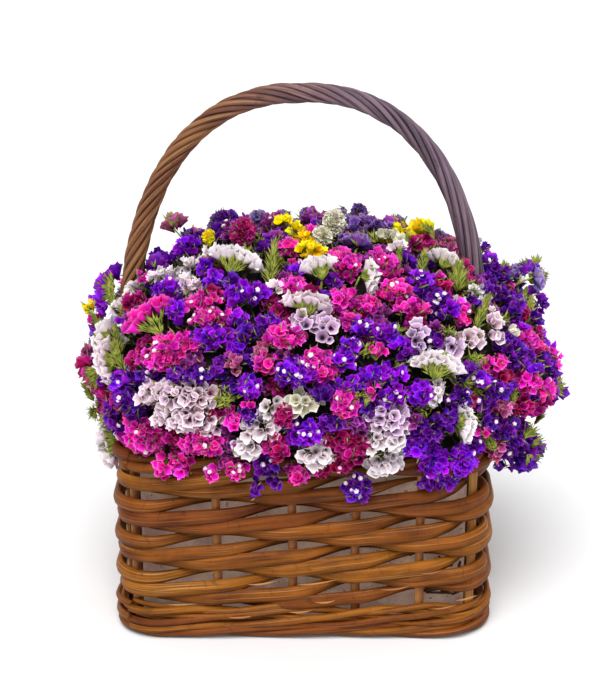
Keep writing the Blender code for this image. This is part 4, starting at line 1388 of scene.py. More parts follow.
    def club(self, plot: Plot) -> None:
        """Closed dried funnels all round an egg, spread by the golden angle.

        Args:
            plot: the bunch.
        """
        width, height, radius = plot.width, plot.height, self.bud_radius
        half = np.array([width / 2, height / 2, (width + height) / 4]) - radius * 0.8
        half = np.maximum(half, 2.5)
        area = 2.6 * math.pi * half[0] * (half[1] + half[2])
        count = max(14, int(area / self.bud_room))
        number, angle = self.around(count)
        level = 1 - 1.55 * number / count
        ring = np.sqrt(1 - level ** 2)
        out = np.stack([ring * np.cos(angle), ring * np.sin(angle), level], 1) * half
        out = out @ np.stack([plot.right, plot.up, plot.out])
        out = out * self.rng.uniform(0.88, 1.1, (count, 1))
        mouth = drawn_in(plot.point + out)
        axis = unit(unit(out) + 0.3 * UP + self.rng.normal(0, 0.2, out.shape))
        radius = radius * self.rng.uniform(0.8, 1.25, count)
        self.calyces(plot.shoots.calyces, mouth, axis, radius, radius * 2.2, 0.7)
        self.cups(plot, (mouth - axis * 6)[::2], axis[::2])
        self.stem(plot, plot.point, 1.0)

    def fan(self, plot: Plot, turn: float) -> None:
        """A side-on fan: funnels that radiate from a pivot, over rows of overlapping bracts.

        Args:
            plot: the bunch.
            turn: the way it opens, from the right.
        """
        ahead = plot.toward(turn)
        beside = np.cross(plot.out, ahead)
        depth = max(plot.height * 0.95, plot.width * 0.45)
        pivot = plot.point - ahead * depth * 0.62
        self.stem(plot, pivot, self.stem_radius)
        wide = min(self.fan_wide, math.atan2(plot.width / 2, depth * 0.8))
        for layer in FAN_LAYERS:
            count = max(4, int(round(plot.width / self.fan_funnel)) - layer.fewer)
            angle = np.linspace(-wide, wide, count) + self.rng.normal(0, 0.05, count)
            out = ahead * np.cos(angle)[:, None] + beside * np.sin(angle)[:, None]
            far = depth * layer.share * (1 + 0.25 * (angle / self.fan_wide) ** 2)
            mouth = drawn_in(pivot + out * far[:, None] + plot.out * layer.lift)
            axis = unit(out + plot.out * layer.outward + self.rng.normal(0, 0.1, out.shape))
            radius = self.rng.uniform(*self.fan_radii, count)
            self.calyces(plot.shoots.open_calyces, mouth, axis, radius,
                         radius * self.rng.uniform(1.7, 2.2, count), 0.95)
        count = max(16, int(plot.width * 1.9))
        angle = self.rng.uniform(-wide, wide, count)
        out = ahead * np.cos(angle)[:, None] + beside * np.sin(angle)[:, None]
        base = pivot + out * (depth * self.rng.uniform(0.0, 0.5, count))[:, None] + plot.out * 3
        lean = unit(out + plot.out * 0.35 + self.rng.normal(0, 0.15, out.shape))
        self.bracts(plot, base, lean, (6, 10.5), (1.5, 2.7))

    def spike(self, plot: Plot, turn: float) -> None:
        """An upright spike: bracts wound by the golden angle round an axis, shorter to the tip.

        Args:
            plot: the bunch.
            turn: the way it points, from the right.
        """
        ahead = unit(plot.toward(turn) + plot.out * 0.35)
        count = int(44 + plot.width * plot.height / 7)
        number = np.arange(count)
        share = (number + 0.5) / count
        side, _ = cross_frame(np.repeat(ahead[None], count, 0), number * GOLDEN)
        base = plot.point + ahead * ((share - 0.6) * plot.height * 0.85)[:, None]
        lean = unit(side * (0.8 - 0.55 * share)[:, None] + ahead
                    + self.rng.normal(0, 0.16, base.shape))
        length = plot.width * 0.5 * (1.1 - 0.4 * share) * self.rng.uniform(0.7, 1.2, count)
        self.bracts(plot, base, lean, length, (1.4, 2.6))


# The handle's arch, a superellipse, in the classes that follow it or keep clear of it
HALF_SPAN, SPRING, ARCH_RISE, ARCH_POWER = 144.0, 215.0, 215.0, 2.3


@dataclass
class FlowerMound:
    """All the flowers: bunches placed by the photograph, and the rest by a seeded rule.

    home_reach is how far from its packed head a bunch still belongs to it. middle_part and
    back_from divide the bunches that belong to none. A filled place turned away from the camera,
    by facing, or far from every listed bunch, by wide_gap, takes a full bunch.
    """

    leaf: Material
    corolla: Material
    papers: dict[Tint, Material]
    home_reach: float = 62.0
    middle_part: tuple[float, float] = (-50.0, 70.0)
    back_from: float = 30.0
    growth: float = 1.2
    yellow_lift: float = 4.0
    places: int = 900
    lowest: float = -0.32
    facing: float = 0.3
    wide_gap: float = 34.0
    hidden_gap: float = 7.0
    seen_gap: float = 1.5
    hidden_spacing: float = 16.5
    seen_spacing: float = 13.0
    tuft: tuple[float, float] = (20.0, 18.0)
    handle_room: float = 16.0
    seed: int = 23

    def __post_init__(self) -> None:
        """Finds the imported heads, with the middles of their boxes and their tints."""
        self.rng = np.random.default_rng(self.seed)
        self.arranger = Arranger(self.rng)
        self.heads = sorted(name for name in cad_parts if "_head_" in name)
        self.middles = np.array([sum(map(np.array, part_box(name))) / 2 / MM for name in self.heads])
        words = [name.split("_")[0].upper() for name in self.heads]
        self.own = [Tint.BLUSH if word == "PALE" else Tint[word] for word in words]
        self.pieces = {name: Shoots(tint) for name, tint in zip(self.heads, self.own)}

    def shoots_for(self, tint: Tint | None, place: Array) -> Shoots:
        """Where a bunch belongs: the nearest packed head of its colour, or an extra piece.

        Args:
            tint: the bunch's tint; a green bunch goes to any head.
            place: its middle.

        Returns:
            The shoots of the piece.
        """
        gaps = np.linalg.norm(self.middles - place, axis=1)
        for index in np.argsort(gaps):
            if tint is None or (gaps[index] <= self.home_reach and self.own[index] is tint):
                return self.pieces[self.heads[index]]
        left, right = self.middle_part
        part = "left" if place[0] < left else "right" if place[0] > right else "middle"
        side = "back" if place[1] > self.back_from else "front"
        key = f"{tint.name.lower()}_bunches_{part}_{side}"
        return self.pieces.setdefault(key, Shoots(tint))

    def arrange(self) -> None:
        """Places every bunch that the photograph shows."""
        across, down = np.array([(bunch.across, bunch.down) for bunch in BUNCHES], float).T
        points = MOUND.meet(across, down)
        start, forward, _, _ = VIEW.axes()
        scale = ((points - start) @ forward) / VIEW.focal
        seats = zip(MOUND.seats(points, 0.7), MOUND.seats(points, 1.6))
        for bunch, (plain, facing), size in zip(BUNCHES, seats, scale):
            seat = facing if bunch.form in (Form.FAN, Form.SPIKE) else plain
            if bunch.tint is Tint.YELLOW:
                seat = seat.moved(self.yellow_lift)
            shoots = self.shoots_for(bunch.tint, seat.point)
            plot = seat.plot(shoots, bunch.width * size * self.growth,
                             bunch.height * size * self.growth)
            if bunch.form is Form.FAN:
                self.arranger.fan(plot, math.radians(bunch.turn))
            elif bunch.form is Form.BUDS:
                self.arranger.club(plot)
            elif bunch.form is Form.SPIKE:
                self.arranger.spike(plot, math.radians(bunch.turn))
            else:
                self.arranger.dome(plot, bunch.tint, bunch.form, bunch.dots)
        LOG.info("placed %d bunches by the photograph", len(BUNCHES))
        self.fill(points, np.array([bunch.width + bunch.height for bunch in BUNCHES]) * scale / 4)

    def fill(self, points: Array, sizes: Array) -> None:
        """Fills what no listed bunch covers: sunken tufts in front, full bunches elsewhere.

        Args:
            points: the middles of the listed bunches.
            sizes: their mean half sizes.
        """
        rng = self.rng
        spots = MOUND.lattice(self.places, self.lowest)
        seats = MOUND.seats(spots)
        gaps = (np.linalg.norm(spots[:, None] - points, axis=2) - sizes).min(1)
        start = VIEW.axes()[0]
        facing = (MOUND.normal(spots) * unit(start - spots)).sum(1)
        hidden = (gaps > self.hidden_gap) & ((facing < self.facing) | (gaps > self.wide_gap))
        kept: list[Array] = []
        for spot, seat, away, gap in zip(spots, seats, hidden, gaps):
            wanted = self.hidden_spacing if away else self.seen_spacing
            if kept and np.min(np.linalg.norm(np.array(kept) - spot, axis=1)) < wanted:
                continue
            if not self.clear(spot) or (not away and gap < self.seen_gap):
                continue
            kept.append(spot)
            tint = self.own[int(np.argmin(np.linalg.norm(self.middles - spot, axis=1)))]
            if away:
                self.scatter(seat.moved(-rng.uniform(-2, 5)), tint)
                continue
            between = (None, tint, Tint.VIOLET, Tint.CERISE, Tint.PLUM)[rng.integers(5)]
            if tint in (Tint.LAVENDER, Tint.DUSKY, Tint.YELLOW):
                between = (None, Tint.DUSKY, Tint.PLUM)[rng.integers(3)]
            sunk = seat.moved(-rng.uniform(5, 11))
            self.arranger.dome(sunk.plot(self.shoots_for(between, spot), *self.tuft), between)
        LOG.info("filled %d more places", len(kept))

    def scatter(self, seat: Seat, tint: Tint) -> None:
        """A bunch where the photograph shows none, half of them of the nearest head's tint.

        Args:
            seat: where it grows.
            tint: the nearest head's tint.
        """
        rng = self.rng
        mixed = (Tint.PURPLE, Tint.MAGENTA, Tint.VIOLET, Tint.CERISE, Tint.WHITE, Tint.LILAC,
                 Tint.PLUM, None, None)
        pick = tint if rng.random() < 0.5 else mixed[rng.integers(len(mixed))]
        form = (Form.DOME, Form.DOME, Form.DOME, Form.FAN, Form.STAR)[rng.integers(5)]
        if pick in (Tint.WHITE, Tint.BLUSH, Tint.LILAC) and form is Form.DOME:
            form = Form.STAR
        elif pick is None:
            form = Form.DOME
        shoots = self.shoots_for(pick, seat.point)
        width, height = rng.uniform(20, 34), rng.uniform(17, 26)
        if pick is None and rng.random() < 0.5:
            self.arranger.spike(seat.plot(shoots, width * 0.5, height), rng.uniform(0.9, 2.2))
        elif form is Form.FAN:
            self.arranger.fan(seat.plot(shoots, width, height * 0.75), rng.uniform(0.6, 2.5))
        else:
            plot = seat.plot(shoots, width, height)
            self.arranger.dome(plot, pick, form, int(rng.integers(0, 3)))

    def clear(self, spot: Array) -> bool:
        """Tells whether a place keeps clear of the handle.

        Args:
            spot: the place.

        Returns:
            True if it isn't in the handle's way.
        """
        rise = max(spot[2] - SPRING, 0) / ARCH_RISE
        foot = HALF_SPAN * (1 - rise ** ARCH_POWER) ** (1 / ARCH_POWER)
        room = self.handle_room
        return not (abs(spot[1]) < room and abs(abs(spot[0]) - foot) < room)

    def build(self) -> None:
        """Makes the meshes, one piece for each packed head and for each extra group."""
        self.arrange()
        for key, shoots in self.pieces.items():
            stock = Grower().grow(shoots)
            if not stock.points:
                continue
            node = key if key in self.heads else ""
            materials = [self.papers[shoots.tint], self.leaf, self.corolla]
            stock.make(key + "_papery" if node else key, materials, shoots.tint.value.slot, node)


@dataclass(frozen=True)
class DarkHeart:
    """Painted shade inside the mound: a near-black shell and darkened copies of the leaves, which
    show as dark gaps between the bunches.
    """

    finish: Material
    leaf: Material
    depth: float = 22.0
    leaf_count: int = 2600
    rings: int = 26
    columns: int = 64
    pole_across: float = 10.0
    top: float = 303.0
    wall_below: float = 166.0
    wall_half: tuple[float, float] = (126.0, 80.0)

    def build(self) -> None:
        """A shell under the mound's surface, lumpy by two sine waves and closed at its poles.

        Where it is low it stays inside the basket's wall.
        """
        level, turn = np.meshgrid(np.linspace(-0.42, 0.93, self.rings), circle(self.columns),
                                  indexing="ij")
        ring = np.sqrt(1 - level ** 2)
        lump = 1 + 0.03 * np.sin(9 * turn + 7 * level) * np.sin(24 * level)
        toward = np.stack([ring * np.cos(turn), ring * np.sin(turn), level], -1)
        middle = np.array(MOUND.centre)
        points = middle + (MOUND.surface(toward, self.depth) - middle) * lump[..., None]
        low, plan = points[..., 2:] < self.wall_below, points[..., :2]
        points[..., :2] = np.where(low, np.clip(plan, -np.array(self.wall_half), self.wall_half),
                                   plan)
        # Painted shade: a dark shell where the mound's depth is in shade.
        stock = Stock()
        stock.add(points[None], np.array([[self.pole_across, 0, points[0, 0, 2]]]),
                  np.array([[self.pole_across, 0, self.top]]), 0.5, np.array([0.5]))
        stock.make("shaded_heart", [self.finish], "dried_green")
        self.leaves()

    def leaves(self) -> None:
        """Short leaves all over the shell, pointing out and up."""
        rng = np.random.default_rng(77)
        spots = MOUND.lattice(self.leaf_count, -0.4)
        normal = MOUND.normal(spots)
        lean = unit(normal + 0.3 * UP + rng.normal(0, 0.45, spots.shape))
        base = drawn_in(spots - normal * rng.uniform(19, 25, (self.leaf_count, 1)), 12.0)
        stock = Stock()
        Grower().bracts(stock, np.column_stack([
            base, lean, rng.uniform(9, 19, self.leaf_count), rng.uniform(2.6, 5.0, self.leaf_count),
            rng.random((self.leaf_count, 2)) * [TAU, 1]]), 0)
        stock.make("shaded_leaves", [self.leaf], "dried_green")


# The basket

@dataclass
class WallLine:
    """The line through the basket's uprights, by distance from the middle of the front."""

    half_width: float = 144.0
    half_depth: float = 98.0
    corner: float = 29.0
    front_marks: tuple[float, ...] = (-70, -9, 42, 94)
    back_marks: tuple[float, ...] = (80, 27, -27, -80)
    side_gap: float = 43.0
    arc_points: int = 16

    def __post_init__(self) -> None:
        """Lays out a table of distances, points and outward directions: the four rounded corners.

        A corner is its centre plus the corner's radius times the sine and less the cosine of
        the heading, and the straight runs lie between the corners.
        """
        front, side = self.half_width - self.corner, self.half_depth - self.corner
        arc = self.corner * math.pi / 2
        self.front, self.arc, self.length = front, arc, 4 * (front + side + arc)
        angle = np.linspace(0, math.pi / 2, self.arc_points)
        heading = (np.arange(4)[:, None] * math.pi / 2 + angle).ravel()
        outward = np.stack([np.sin(heading), -np.cos(heading)], 1)
        centres = np.array([(front, -side), (front, side), (-front, side), (-front, -side)])
        spots = np.repeat(centres, self.arc_points, 0) + outward * self.corner
        runs = 2 * np.array([0, side, side + front, 2 * side + front])
        begins = front + runs + arc * np.arange(4)
        places = (begins[:, None] + angle * self.corner).ravel()
        middle, facing = [[0, -self.half_depth]], [[0, -1]]
        self.table = (np.concatenate([[0], places, [self.length]]),
                      np.concatenate([middle, spots, middle]),
                      np.concatenate([facing, outward, facing]))

    def place(self, distance: Array, outward: Array | float, height: Array | float) -> Array:
        """Points on the wall.

        Args:
            distance: how far round the line each is.
            outward: how far it is moved outward.
            height: its height.

        Returns:
            Points by 3.
        """
        places, spots, normals = self.table
        rest = np.mod(distance, self.length)
        point, normal = (np.stack([np.interp(rest, places, rows[:, k]) for k in range(2)], 1)
                         for rows in (spots, normals))
        outward, height = (np.broadcast_to(value, rest.shape) for value in (outward, height))
        return np.column_stack([point + unit(normal) * outward[:, None], height])

    def uprights(self) -> Array:
        """The eighteen uprights.

        Returns:
            Their distances along the line, from the front left corner round.
        """
        corner = self.front + self.arc / 2
        right = self.length / 4
        sides = [right - self.side_gap, right, right + self.side_gap]
        marks = [-corner, *self.front_marks, corner, *sides, 2 * right - corner]
        marks += [2 * right - back for back in self.back_marks]
        return np.array([*marks, 2 * right + corner, *(2 * right + mark for mark in sides)])

    def distance(self, index: Array) -> Array:
        """Turns a count of uprights into a distance.

        Args:
            index: numbers of uprights, with fractions between them.

        Returns:
            Distances along the line.
        """
        marks = self.uprights()
        turns = np.arange(-4, 4)[:, None]
        return np.interp(index, (np.arange(len(marks)) + turns * len(marks)).ravel(),
                         (marks + turns * self.length).ravel())


@dataclass(frozen=True)
class Twist:
    """Some strands that twist round each other along the wall.

    rows are the heights of their middles, reach and climb how far they swing out and up,
    outward how far the twist stands off the wall's line, thick their radius, and period the
    uprights to each turn.
    """

    rows: tuple[float, ...]
    strands: int
    reach: float
    climb: float
    outward: float
    thick: float
    period: float
    seed: int


FOOT_TWISTS = (Twist((7.9,), 3, 2.6, 3.0, 7.0, 3.1, 3.4, 7),
               Twist((15.4, 22.4), 2, 2.9, 3.1, 7.0, 2.9, 2.7, 17),
               Twist((26.2,), 1, 2.9, 2.4, 6.4, 2.5, 2.1, 8))
RIM_TWISTS = (Twist((151.8,), 3, 5.0, 4.4, 2.0, 4.4, 3.0, 9),)
HANDLE_UPRIGHTS = (7, 16)  # the handle's ends stand here, in place of stakes


@dataclass(frozen=True)
class WovenBasket:
    """Nine rods round the uprights, the foot wale, the rim border, the stakes and the board."""

    wicker: Material
    stake: Material
    line: WallLine = field(default_factory=WallLine)
    rod_count: int = 9
    rod_radius: float = 4.2
    rod_swing: float = 7.2
    rod_points: int = 330
    pitch: float = 10.5
    weave_bottom: float = 31.2
    rod_reach: float = 21.0
    tip: float = 0.5
    twist_points: int = 300
    stake_radius: float = 3.6
    board_columns: int = 96

    def swing(self, phase: Array) -> Array:
        """Inside at 0 and 3, outside from 1 to 2, with a cosine between."""
        rise = np.where(phase < 1, phase, np.where(phase > 2, 3 - phase, 1.0))
        return -np.cos(math.pi * rise) * self.rod_swing

    def weavers(self) -> None:
        """The nine rods: height rises half a pitch at each upright, thickness drifts."""
        for number in range(self.rod_count):
            rng = np.random.default_rng(100 + number)
            tuck = (0, 1, -1)[number % 3]
            index = np.linspace(0, self.rod_reach, self.rod_points) - 2 * number + tuck
            offset = self.swing(np.mod(index + number, 3))
            drift = sum(rng.uniform(0.2, 0.5) * np.sin(index * rate + rng.uniform(0, TAU))
                        for rate in (0.9, 2.1, 3.7))
            height = self.weave_bottom + self.pitch * (number + index / 2) + drift
            centre = self.line.place(self.line.distance(index), offset, height)
            end = np.minimum(index - index[0], index[-1] - index)
            thick = self.rod_radius * np.minimum(1.0, self.tip + (1 - self.tip) * end)
            slow = 0.06 * np.sin(index * 0.7 + rng.uniform(0, TAU))
            slow = slow + 0.03 * np.sin(index * 2.9 + rng.uniform(0, TAU))
            thick = thick * (1 + 0.31 * offset / self.rod_swing) * (1 + slow)
            stock = Stock()
            stock.tube(centre, thick, UP, rng.random(), sides=12, tall=1.17, wide=0.76)
            stock.make(f"woven_rod_{number + 1}", [self.wicker], "wicker", f"weaver_{number + 1}")

    def band(self, name: str, node: str, twists: tuple[Twist, ...]) -> None:
        """A band of strands round the wall: each swings by a cosine out and a sine up.

        Args:
            name: the piece.
            node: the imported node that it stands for.
            twists: its strands.
        """
        stock = Stock()
        index = np.linspace(0, len(self.line.uprights()), self.twist_points)
        distance = self.line.distance(index)
        for twist in twists:
            rng = np.random.default_rng(twist.seed)
            for row in twist.rows:
                shift = rng.uniform(0, TAU)
                for strand in range(twist.strands):
                    angle = TAU * (index / twist.period + strand / twist.strands) + shift
                    drift = (np.sin(index * 1.3 + rng.uniform(0, TAU))
                             + 0.8 * np.sin(index * 2.9 + rng.uniform(0, TAU)))
                    height = row + twist.climb * np.sin(angle) + drift * 0.6
                    radius = twist.thick * (1 + 0.12 * np.sin(index * 1.9 + rng.uniform(0, TAU)))
                    out = twist.outward + twist.reach * np.cos(angle)
                    stock.tube(self.line.place(distance, out, height), radius, UP, rng.random(),
                               sides=9, tall=1.05, wide=0.95)
        stock.make(name, [self.wicker], "wicker", node)

    def stakes(self) -> None:
        """The sixteen round stakes, and the board as four rings of the wall's line."""
        stock = Stock()
        rng = np.random.default_rng(31)
        height = np.linspace(6, 147, 30)
        for number, mark in enumerate(self.line.uprights()):
            if number in HANDLE_UPRIGHTS:
                continue
            wobble = 0.35 * np.sin(height / 17 + rng.uniform(0, TAU))
            stock.tube(self.line.place(mark + wobble, 0.9, height),
                       self.stake_radius + wobble * 0.4, BACKWARD, rng.random())
        distance = np.linspace(0, self.line.length, self.board_columns, endpoint=False)
        rings = [self.line.place(distance, out, level)
                 for out, level in ((1.0, 0.5), (2.4, 1.5), (2.4, 9.0), (1.0, 10.0))]
        stock.add(np.array([rings]), np.array([[0, 0, 0.5]]), np.array([[0, 0, 10.0]]), 0.5,
                  np.array([0.4]))
        stock.make("board_and_round_stakes", [self.stake], "stake_wood", "base_and_stakes")

    def build(self) -> None:
        """Makes all the basket's pieces."""
        self.weavers()
        self.band("foot_wale_rods", "foot_wale", FOOT_TWISTS)
        self.band("rim_border_rods", "rim_border", RIM_TWISTS)
        self.stakes()


@dataclass(frozen=True)
class PaperLiner:
    """The open paper tray inside the wall, which shows through the weave's windows."""

    finish: Material
    line: WallLine = field(default_factory=WallLine)
    inset: float = 10.8
    thickness: float = 1.0
    bottom: float = 10.4
    top: float = 141.0
    columns: int = 160

    def build(self) -> None:
        """Rings of the wall's line moved inwards, up outside and down inside, with soft creases.

        The creases are two sine waves round the tray that move its wall by up to 0.4 mm.
        """
        distance = np.linspace(0, self.line.length, self.columns, endpoint=False)
        turn = distance / self.line.length * TAU
        floor = self.bottom + self.thickness
        rings = []
        for inner, height in ((0, self.bottom), (0, 50.0), (0, 95.0), (0, self.top),
                              (1, self.top), (1, 75.0), (1, floor)):
            crease = 0.25 * np.sin(23 * turn + height / 9) + 0.15 * np.sin(57 * turn - height / 5)
            outward = crease - self.inset - inner * self.thickness
            rings.append(self.line.place(distance, outward, height))
        stock = Stock()
        stock.add(np.array([rings]), np.array([[0, 0, self.bottom]]), np.array([[0, 0, floor]]),
                  0.5, np.array([0.5]))
        stock.make("paper_tray", [self.finish], "liner_paper", "paper_liner")


@dataclass(frozen=True)
class RopedHandle:
    """The handle's wrap: strands that turn slowly round the bent core."""

    finish: Material
    bottom: float = 158.6
    strands: int = 8
    ring: float = 6.65
    thick: float = 2.48
    turn_length: float = 112.0
    top_share: float = 0.9
    slow_share: float = 0.26

    def centre_line(self, count: int) -> tuple[Array, Array]:
        """Even points from the right leg over the arch to the left leg, and their distances.

        The arch is x over the half span to the power plus height over the rise to the power
        equals one, and the legs under it are straight.

        Args:
            count: how many points.

        Returns:
            Points by 3, and the distance at each.
        """
        angle = np.linspace(0, math.pi, 2000)
        side, rise = np.cos(angle), np.sin(angle)
        dense = np.zeros((len(angle) + 2, 3))
        dense[1:-1, 0] = np.sign(side) * np.abs(side) ** (2 / ARCH_POWER) * HALF_SPAN
        dense[1:-1, 2] = SPRING + ARCH_RISE * np.abs(rise) ** (2 / ARCH_POWER)
        dense[[0, -1]] = (HALF_SPAN, 0, self.bottom), (-HALF_SPAN, 0, self.bottom)
        length = lengths(dense)
        even = np.linspace(0, length[-1], count)
        return np.stack([np.interp(even, length, dense[:, k]) for k in range(3)], 1), even

    def build(self) -> None:
        """Each strand is the centre line plus a circle that turns, slowly near the right foot."""
        line, along = self.centre_line(320)
        outward, _ = frames_along(line, BACKWARD)
        stock = Stock()
        rng = np.random.default_rng(41)
        pace = smooth(130, 330, along) * (1 - self.slow_share) + self.slow_share
        turned = np.cumsum(pace) * (along[1] - along[0]) / self.turn_length * TAU
        slim = 1 - (1 - self.top_share) * smooth(SPRING + 60, SPRING + ARCH_RISE, line[:, 2])
        for strand in range(self.strands):
            angle = strand / self.strands * TAU - turned
            ring = self.ring * slim * (1 + 0.04 * np.sin(along / 31 + rng.uniform(0, TAU)))
            centre = (line + outward * (ring * np.cos(angle))[:, None]
                      + BACKWARD * (ring * np.sin(angle))[:, None])
            thick = self.thick * rng.uniform(0.88, 1.14) * slim
            thick = thick * (1 + 0.06 * np.sin(along / 43 + rng.uniform(0, TAU)))
            # Each strand's outer face is taken as lit, so the finish paints shade where the strands
            # meet.
            stock.tube(centre, thick, BACKWARD + MM * UP, rng.random(), open_side=angle)
        stock.make("handle_strands", [self.finish], "handle_wicker", "handle_wrap")


@dataclass(frozen=True)
class Tear:
    """Torn strips of one kind on the basket's front, by how they show in the photograph.

    Each row is a place in the photograph's pixels, a length in pixels and a lean in degrees.
    depth is how far forward the strips' ends lie, bow how far their middles stand out, thick
    their thickest radius, and taper the share of it that is gone at their ends.
    """

    name: str
    depth: float
    bow: float
    thick: float
    taper: float
    rows: tuple[tuple[float, float, float, float], ...]


PEELED_SLIVERS = Tear("peeled_slivers", -107.6, 4.2, 1.0, 0.85, (
    (262, 583, 30, 8), (318, 582, 44, 9), (240, 616, 34, 3), (300, 611, 26, 5), (395, 588, 30, 8),
    (442, 607, 30, 9), (182, 604, 30, 2), (325, 601, 24, 5), (466, 598, 24, 16),
    (430, 572, 24, 8)))
# Near-black broken ends in the windows: partly broken rods, partly painted shade of the holes there.
BROKEN_ENDS_AND_SHADE = Tear("broken_ends", -92.5, 0.8, 1.9, 0.35, (
    (409, 550, 14, 38), (413, 551, 12, 62), (415, 547, 9, 80), (434, 563, 12, 72),
    (440, 561, 12, 100), (446, 563, 10, 64), (452, 560, 11, 84), (444, 566, 18, 8),
    (430, 590, 22, 8), (440, 593, 30, -2), (451, 590, 22, 6), (458, 592, 14, 26),
    (459, 566, 12, 78), (462, 553, 10, 84)))


@dataclass(frozen=True)
class TornBark:
    """Peeled slivers on the front's rods, or broken ends in its windows, whose near-black colour is
    partly painted shade of the holes there.
    """

    tear: Tear
    finish: Material
    pixel: float = 0.79
    points: int = 9

    def build(self) -> None:
        """Flat tubes, bowed off the wall by a sine and tapered to both ends by another."""
        tear = self.tear
        rng = np.random.default_rng(61)
        table = np.array(tear.rows)
        start, rays = VIEW.rays(table[:, 0], table[:, 1])
        middles = start + rays * ((tear.depth - start[1]) / rays[:, 1])[:, None]
        stock = Stock()
        share = np.linspace(0, 1, self.points)
        arch = np.sin(share * math.pi)
        for (_, _, length, lean), middle in zip(table, middles):
            run = (share - 0.5) * length * self.pixel
            turn = math.radians(lean)
            line = middle + np.stack([run * math.cos(turn),
                                      -tear.bow * arch * rng.uniform(0.7, 1.1),
                                      run * math.sin(turn) + 0.8 * arch], 1)
            radius = tear.thick * (1 - tear.taper + tear.taper * arch) * rng.uniform(0.6, 1.0)
            stock.tube(line, radius, BACKWARD, rng.random(), sides=6, tall=0.45)
        stock.make(tear.name, [self.finish], "wicker")


def dress_nodes(finishes: dict[str, Material]) -> None:
    """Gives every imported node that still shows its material.

    Args:
        finishes: material by the start of a node's name.
    """
    for name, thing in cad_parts.items():
        for start, material in finishes.items():
            if name.startswith(start):
                thing.data.materials.clear()
                thing.data.materials.append(material)


@dataclass(frozen=True)
class Studio:
    """Pale floor, soft lights and the camera."""

    key_strength: float = 2.5
    key_angle: float = math.radians(38)
    key_way: tuple[float, float, float] = (0.14, 0.72, -1.15)
    fill_power: float = 8.0
    fill_place: tuple[float, float, float] = (1.6, -1.4, 1.2)
    fill_size: float = 1.5
    fill_tint: tuple[float, float, float] = (0.96, 0.98, 1.0)
    world_strength: float = 0.54
    floor_half: float = 12.0
    floor_columns: int = 24
    floor_rows: int = 40

    def floor(self) -> None:
        """A wide pale floor, flat round the basket and rising far behind it by a smooth step."""
        columns, rows = self.floor_columns, self.floor_rows
        x, y = np.meshgrid(np.linspace(-self.floor_half, self.floor_half, columns),
                           np.linspace(-self.floor_half, self.floor_half, rows))
        points = np.stack([x, y, smooth(6.0, 12.0, y) * 5.0], -1).reshape(-1, 3)
        first = (np.arange(rows - 1)[:, None] * columns + np.arange(columns - 1)).ravel()
        faces = np.stack([first, first + 1, first + columns + 1, first + columns], 1)
        mesh = bpy.data.meshes.new("floor")
        mesh.from_pydata(points.tolist(), [], faces.tolist())
        mesh.shade_smooth()
        material, nodes = new_material("pale_floor")
        tint = nodes.mix(nodes.noise(nodes.place(), 3.0), (0.93, 0.93, 0.93, 1),
                         (0.95, 0.95, 0.95, 1))
        nodes.feed(material.node_tree.nodes["Principled BSDF"],
                   {"Base Color": tint, "Roughness": 0.9})
        mesh.materials.append(material)
        add_object("floor", mesh)

    def build(self) -> None:
        """Makes the floor, the sun, the fill light, the sky and the camera."""
        self.floor()
        sun = bpy.data.lights.new("key", "SUN")
        sun.energy, sun.angle = self.key_strength, self.key_angle
        aim(add_object("key", sun), self.key_way)
        soft = bpy.data.lights.new("fill", "AREA")
        soft.size, soft.energy, soft.color = self.fill_size, self.fill_power, self.fill_tint
        lamp = add_object("fill", soft)
        lamp.location = self.fill_place
        aim(lamp, Vector((0, 0, 0.2)) - Vector(self.fill_place))
        world = bpy.data.worlds.new("soft_sky")
        world.use_nodes = True
        sky = world.node_tree.nodes["Background"]
        sky.inputs[0].default_value = WHITE
        sky.inputs[1].default_value = self.world_strength
        bpy.context.scene.world = world
        bpy.context.scene.view_settings.view_transform = "Standard"
        bpy.context.scene.view_settings.look = "None"
        VIEW.make()


# Wicker: the streak colour is partly painted highlight, and the mark colour also paints shade on the
# rods' undersides and under the flowers.
WICKER = StickFinish("golden_wicker", "98530f", "4a1f04", "220700", "d8a064", 1.0, 0.55, 0.3,
                     0.78, 1.0, upper_shade=0.12)
# Painted light: this wood is lighter than the rods' wood, to offset the shade that the rods cast on
# the stakes.
STAKE = StickFinish("brown_stake", "d49a5c", "a46a30", "6c3414", "e0b078", rings=0.3)
PEELED = StickFinish("peeled_bark", "c88c58", "985c2c", "703c18", "e8b888", rings=0.0, groove=0.2)
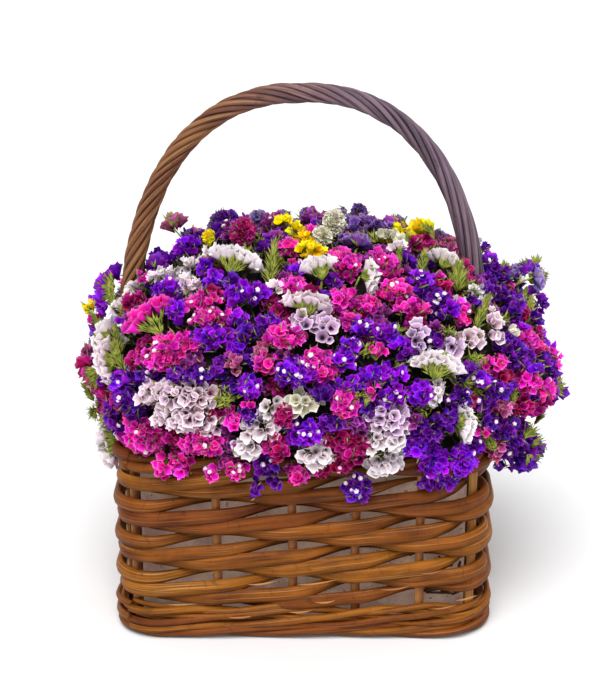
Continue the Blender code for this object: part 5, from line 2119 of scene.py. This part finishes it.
# Near-black wood: partly broken rods, partly painted shade of the holes in the weave.
BROKEN_WOOD_AND_SHADE = StickFinish("split_wood", "4c3020", "2c1810", "140806", "886858", rings=0.0, groove=0.4)
# Rope: the streak colour is partly painted highlight, and the mark colour also paints shade where
# the strands meet.
ROPE = StickFinish("roped_willow", "9a6644", "4c2c20", "1c0c06", "d8a478", 1.8, 0.5, 0.0, 1.0,
                   1.0, "867282", "524252")
CORE = StickFinish("bent_core", "6a4028", "42241a", "2c1408", "8a6040")
LEAF = MottledFinish("dried_leaf", "acb64c", "66742a", "b47c64", 120, tipped=True)
# Painted shade: near-black colours and a darkened copy of the dried leaf, for the shade deep inside
# the mound.
SHADE = MottledFinish("shaded_leaf", "241a16", "160c18", "2c2c18", 90, 0.6)
DIM_LEAF = MottledFinish("dim_leaf", "48522a", "30242a", "6a5c38", 120, tipped=True)
WHITE_COROLLA = MottledFinish("white_corolla", "fff2f6", "f4e0ec", "fff6ee", 200, 0.8, 0.6, 0.1)
# Painted light: the liner's colours are lightened and it glows, to lift the shade behind the weave's
# windows.
LINER = MottledFinish("taupe_liner", "dcbca8", "b8988a", "84685c", 40, 0.62, painted_glow=0.19)
FOAM = MottledFinish("dry_foam", "6e7a48", "525c34", "3c4426", 80, 0.6)


def main() -> None:
    """Builds the dressed basket and the studio."""
    petal, stick, mottled = petal_group(), stick_group(), mottled_group()
    leaf = LEAF.make(mottled)
    WovenBasket(WICKER.make(stick), STAKE.make(stick)).build()
    PaperLiner(LINER.make(mottled)).build()
    TornBark(PEELED_SLIVERS, PEELED.make(stick)).build()
    TornBark(BROKEN_ENDS_AND_SHADE, BROKEN_WOOD_AND_SHADE.make(stick)).build()
    RopedHandle(ROPE.make(stick)).build()
    papers = {tint: tint.value.make(f"{tint.name.lower()}_paper", petal) for tint in Tint}
    FlowerMound(leaf, WHITE_COROLLA.make(mottled), papers).build()
    DarkHeart(SHADE.make(mottled), DIM_LEAF.make(mottled)).build()
    dress_nodes({"foam_block": FOAM.make(mottled), "handle_core": CORE.make(stick),
                 "green_stem": leaf})
    Studio().build()


if __name__ == "__main__":
    main()
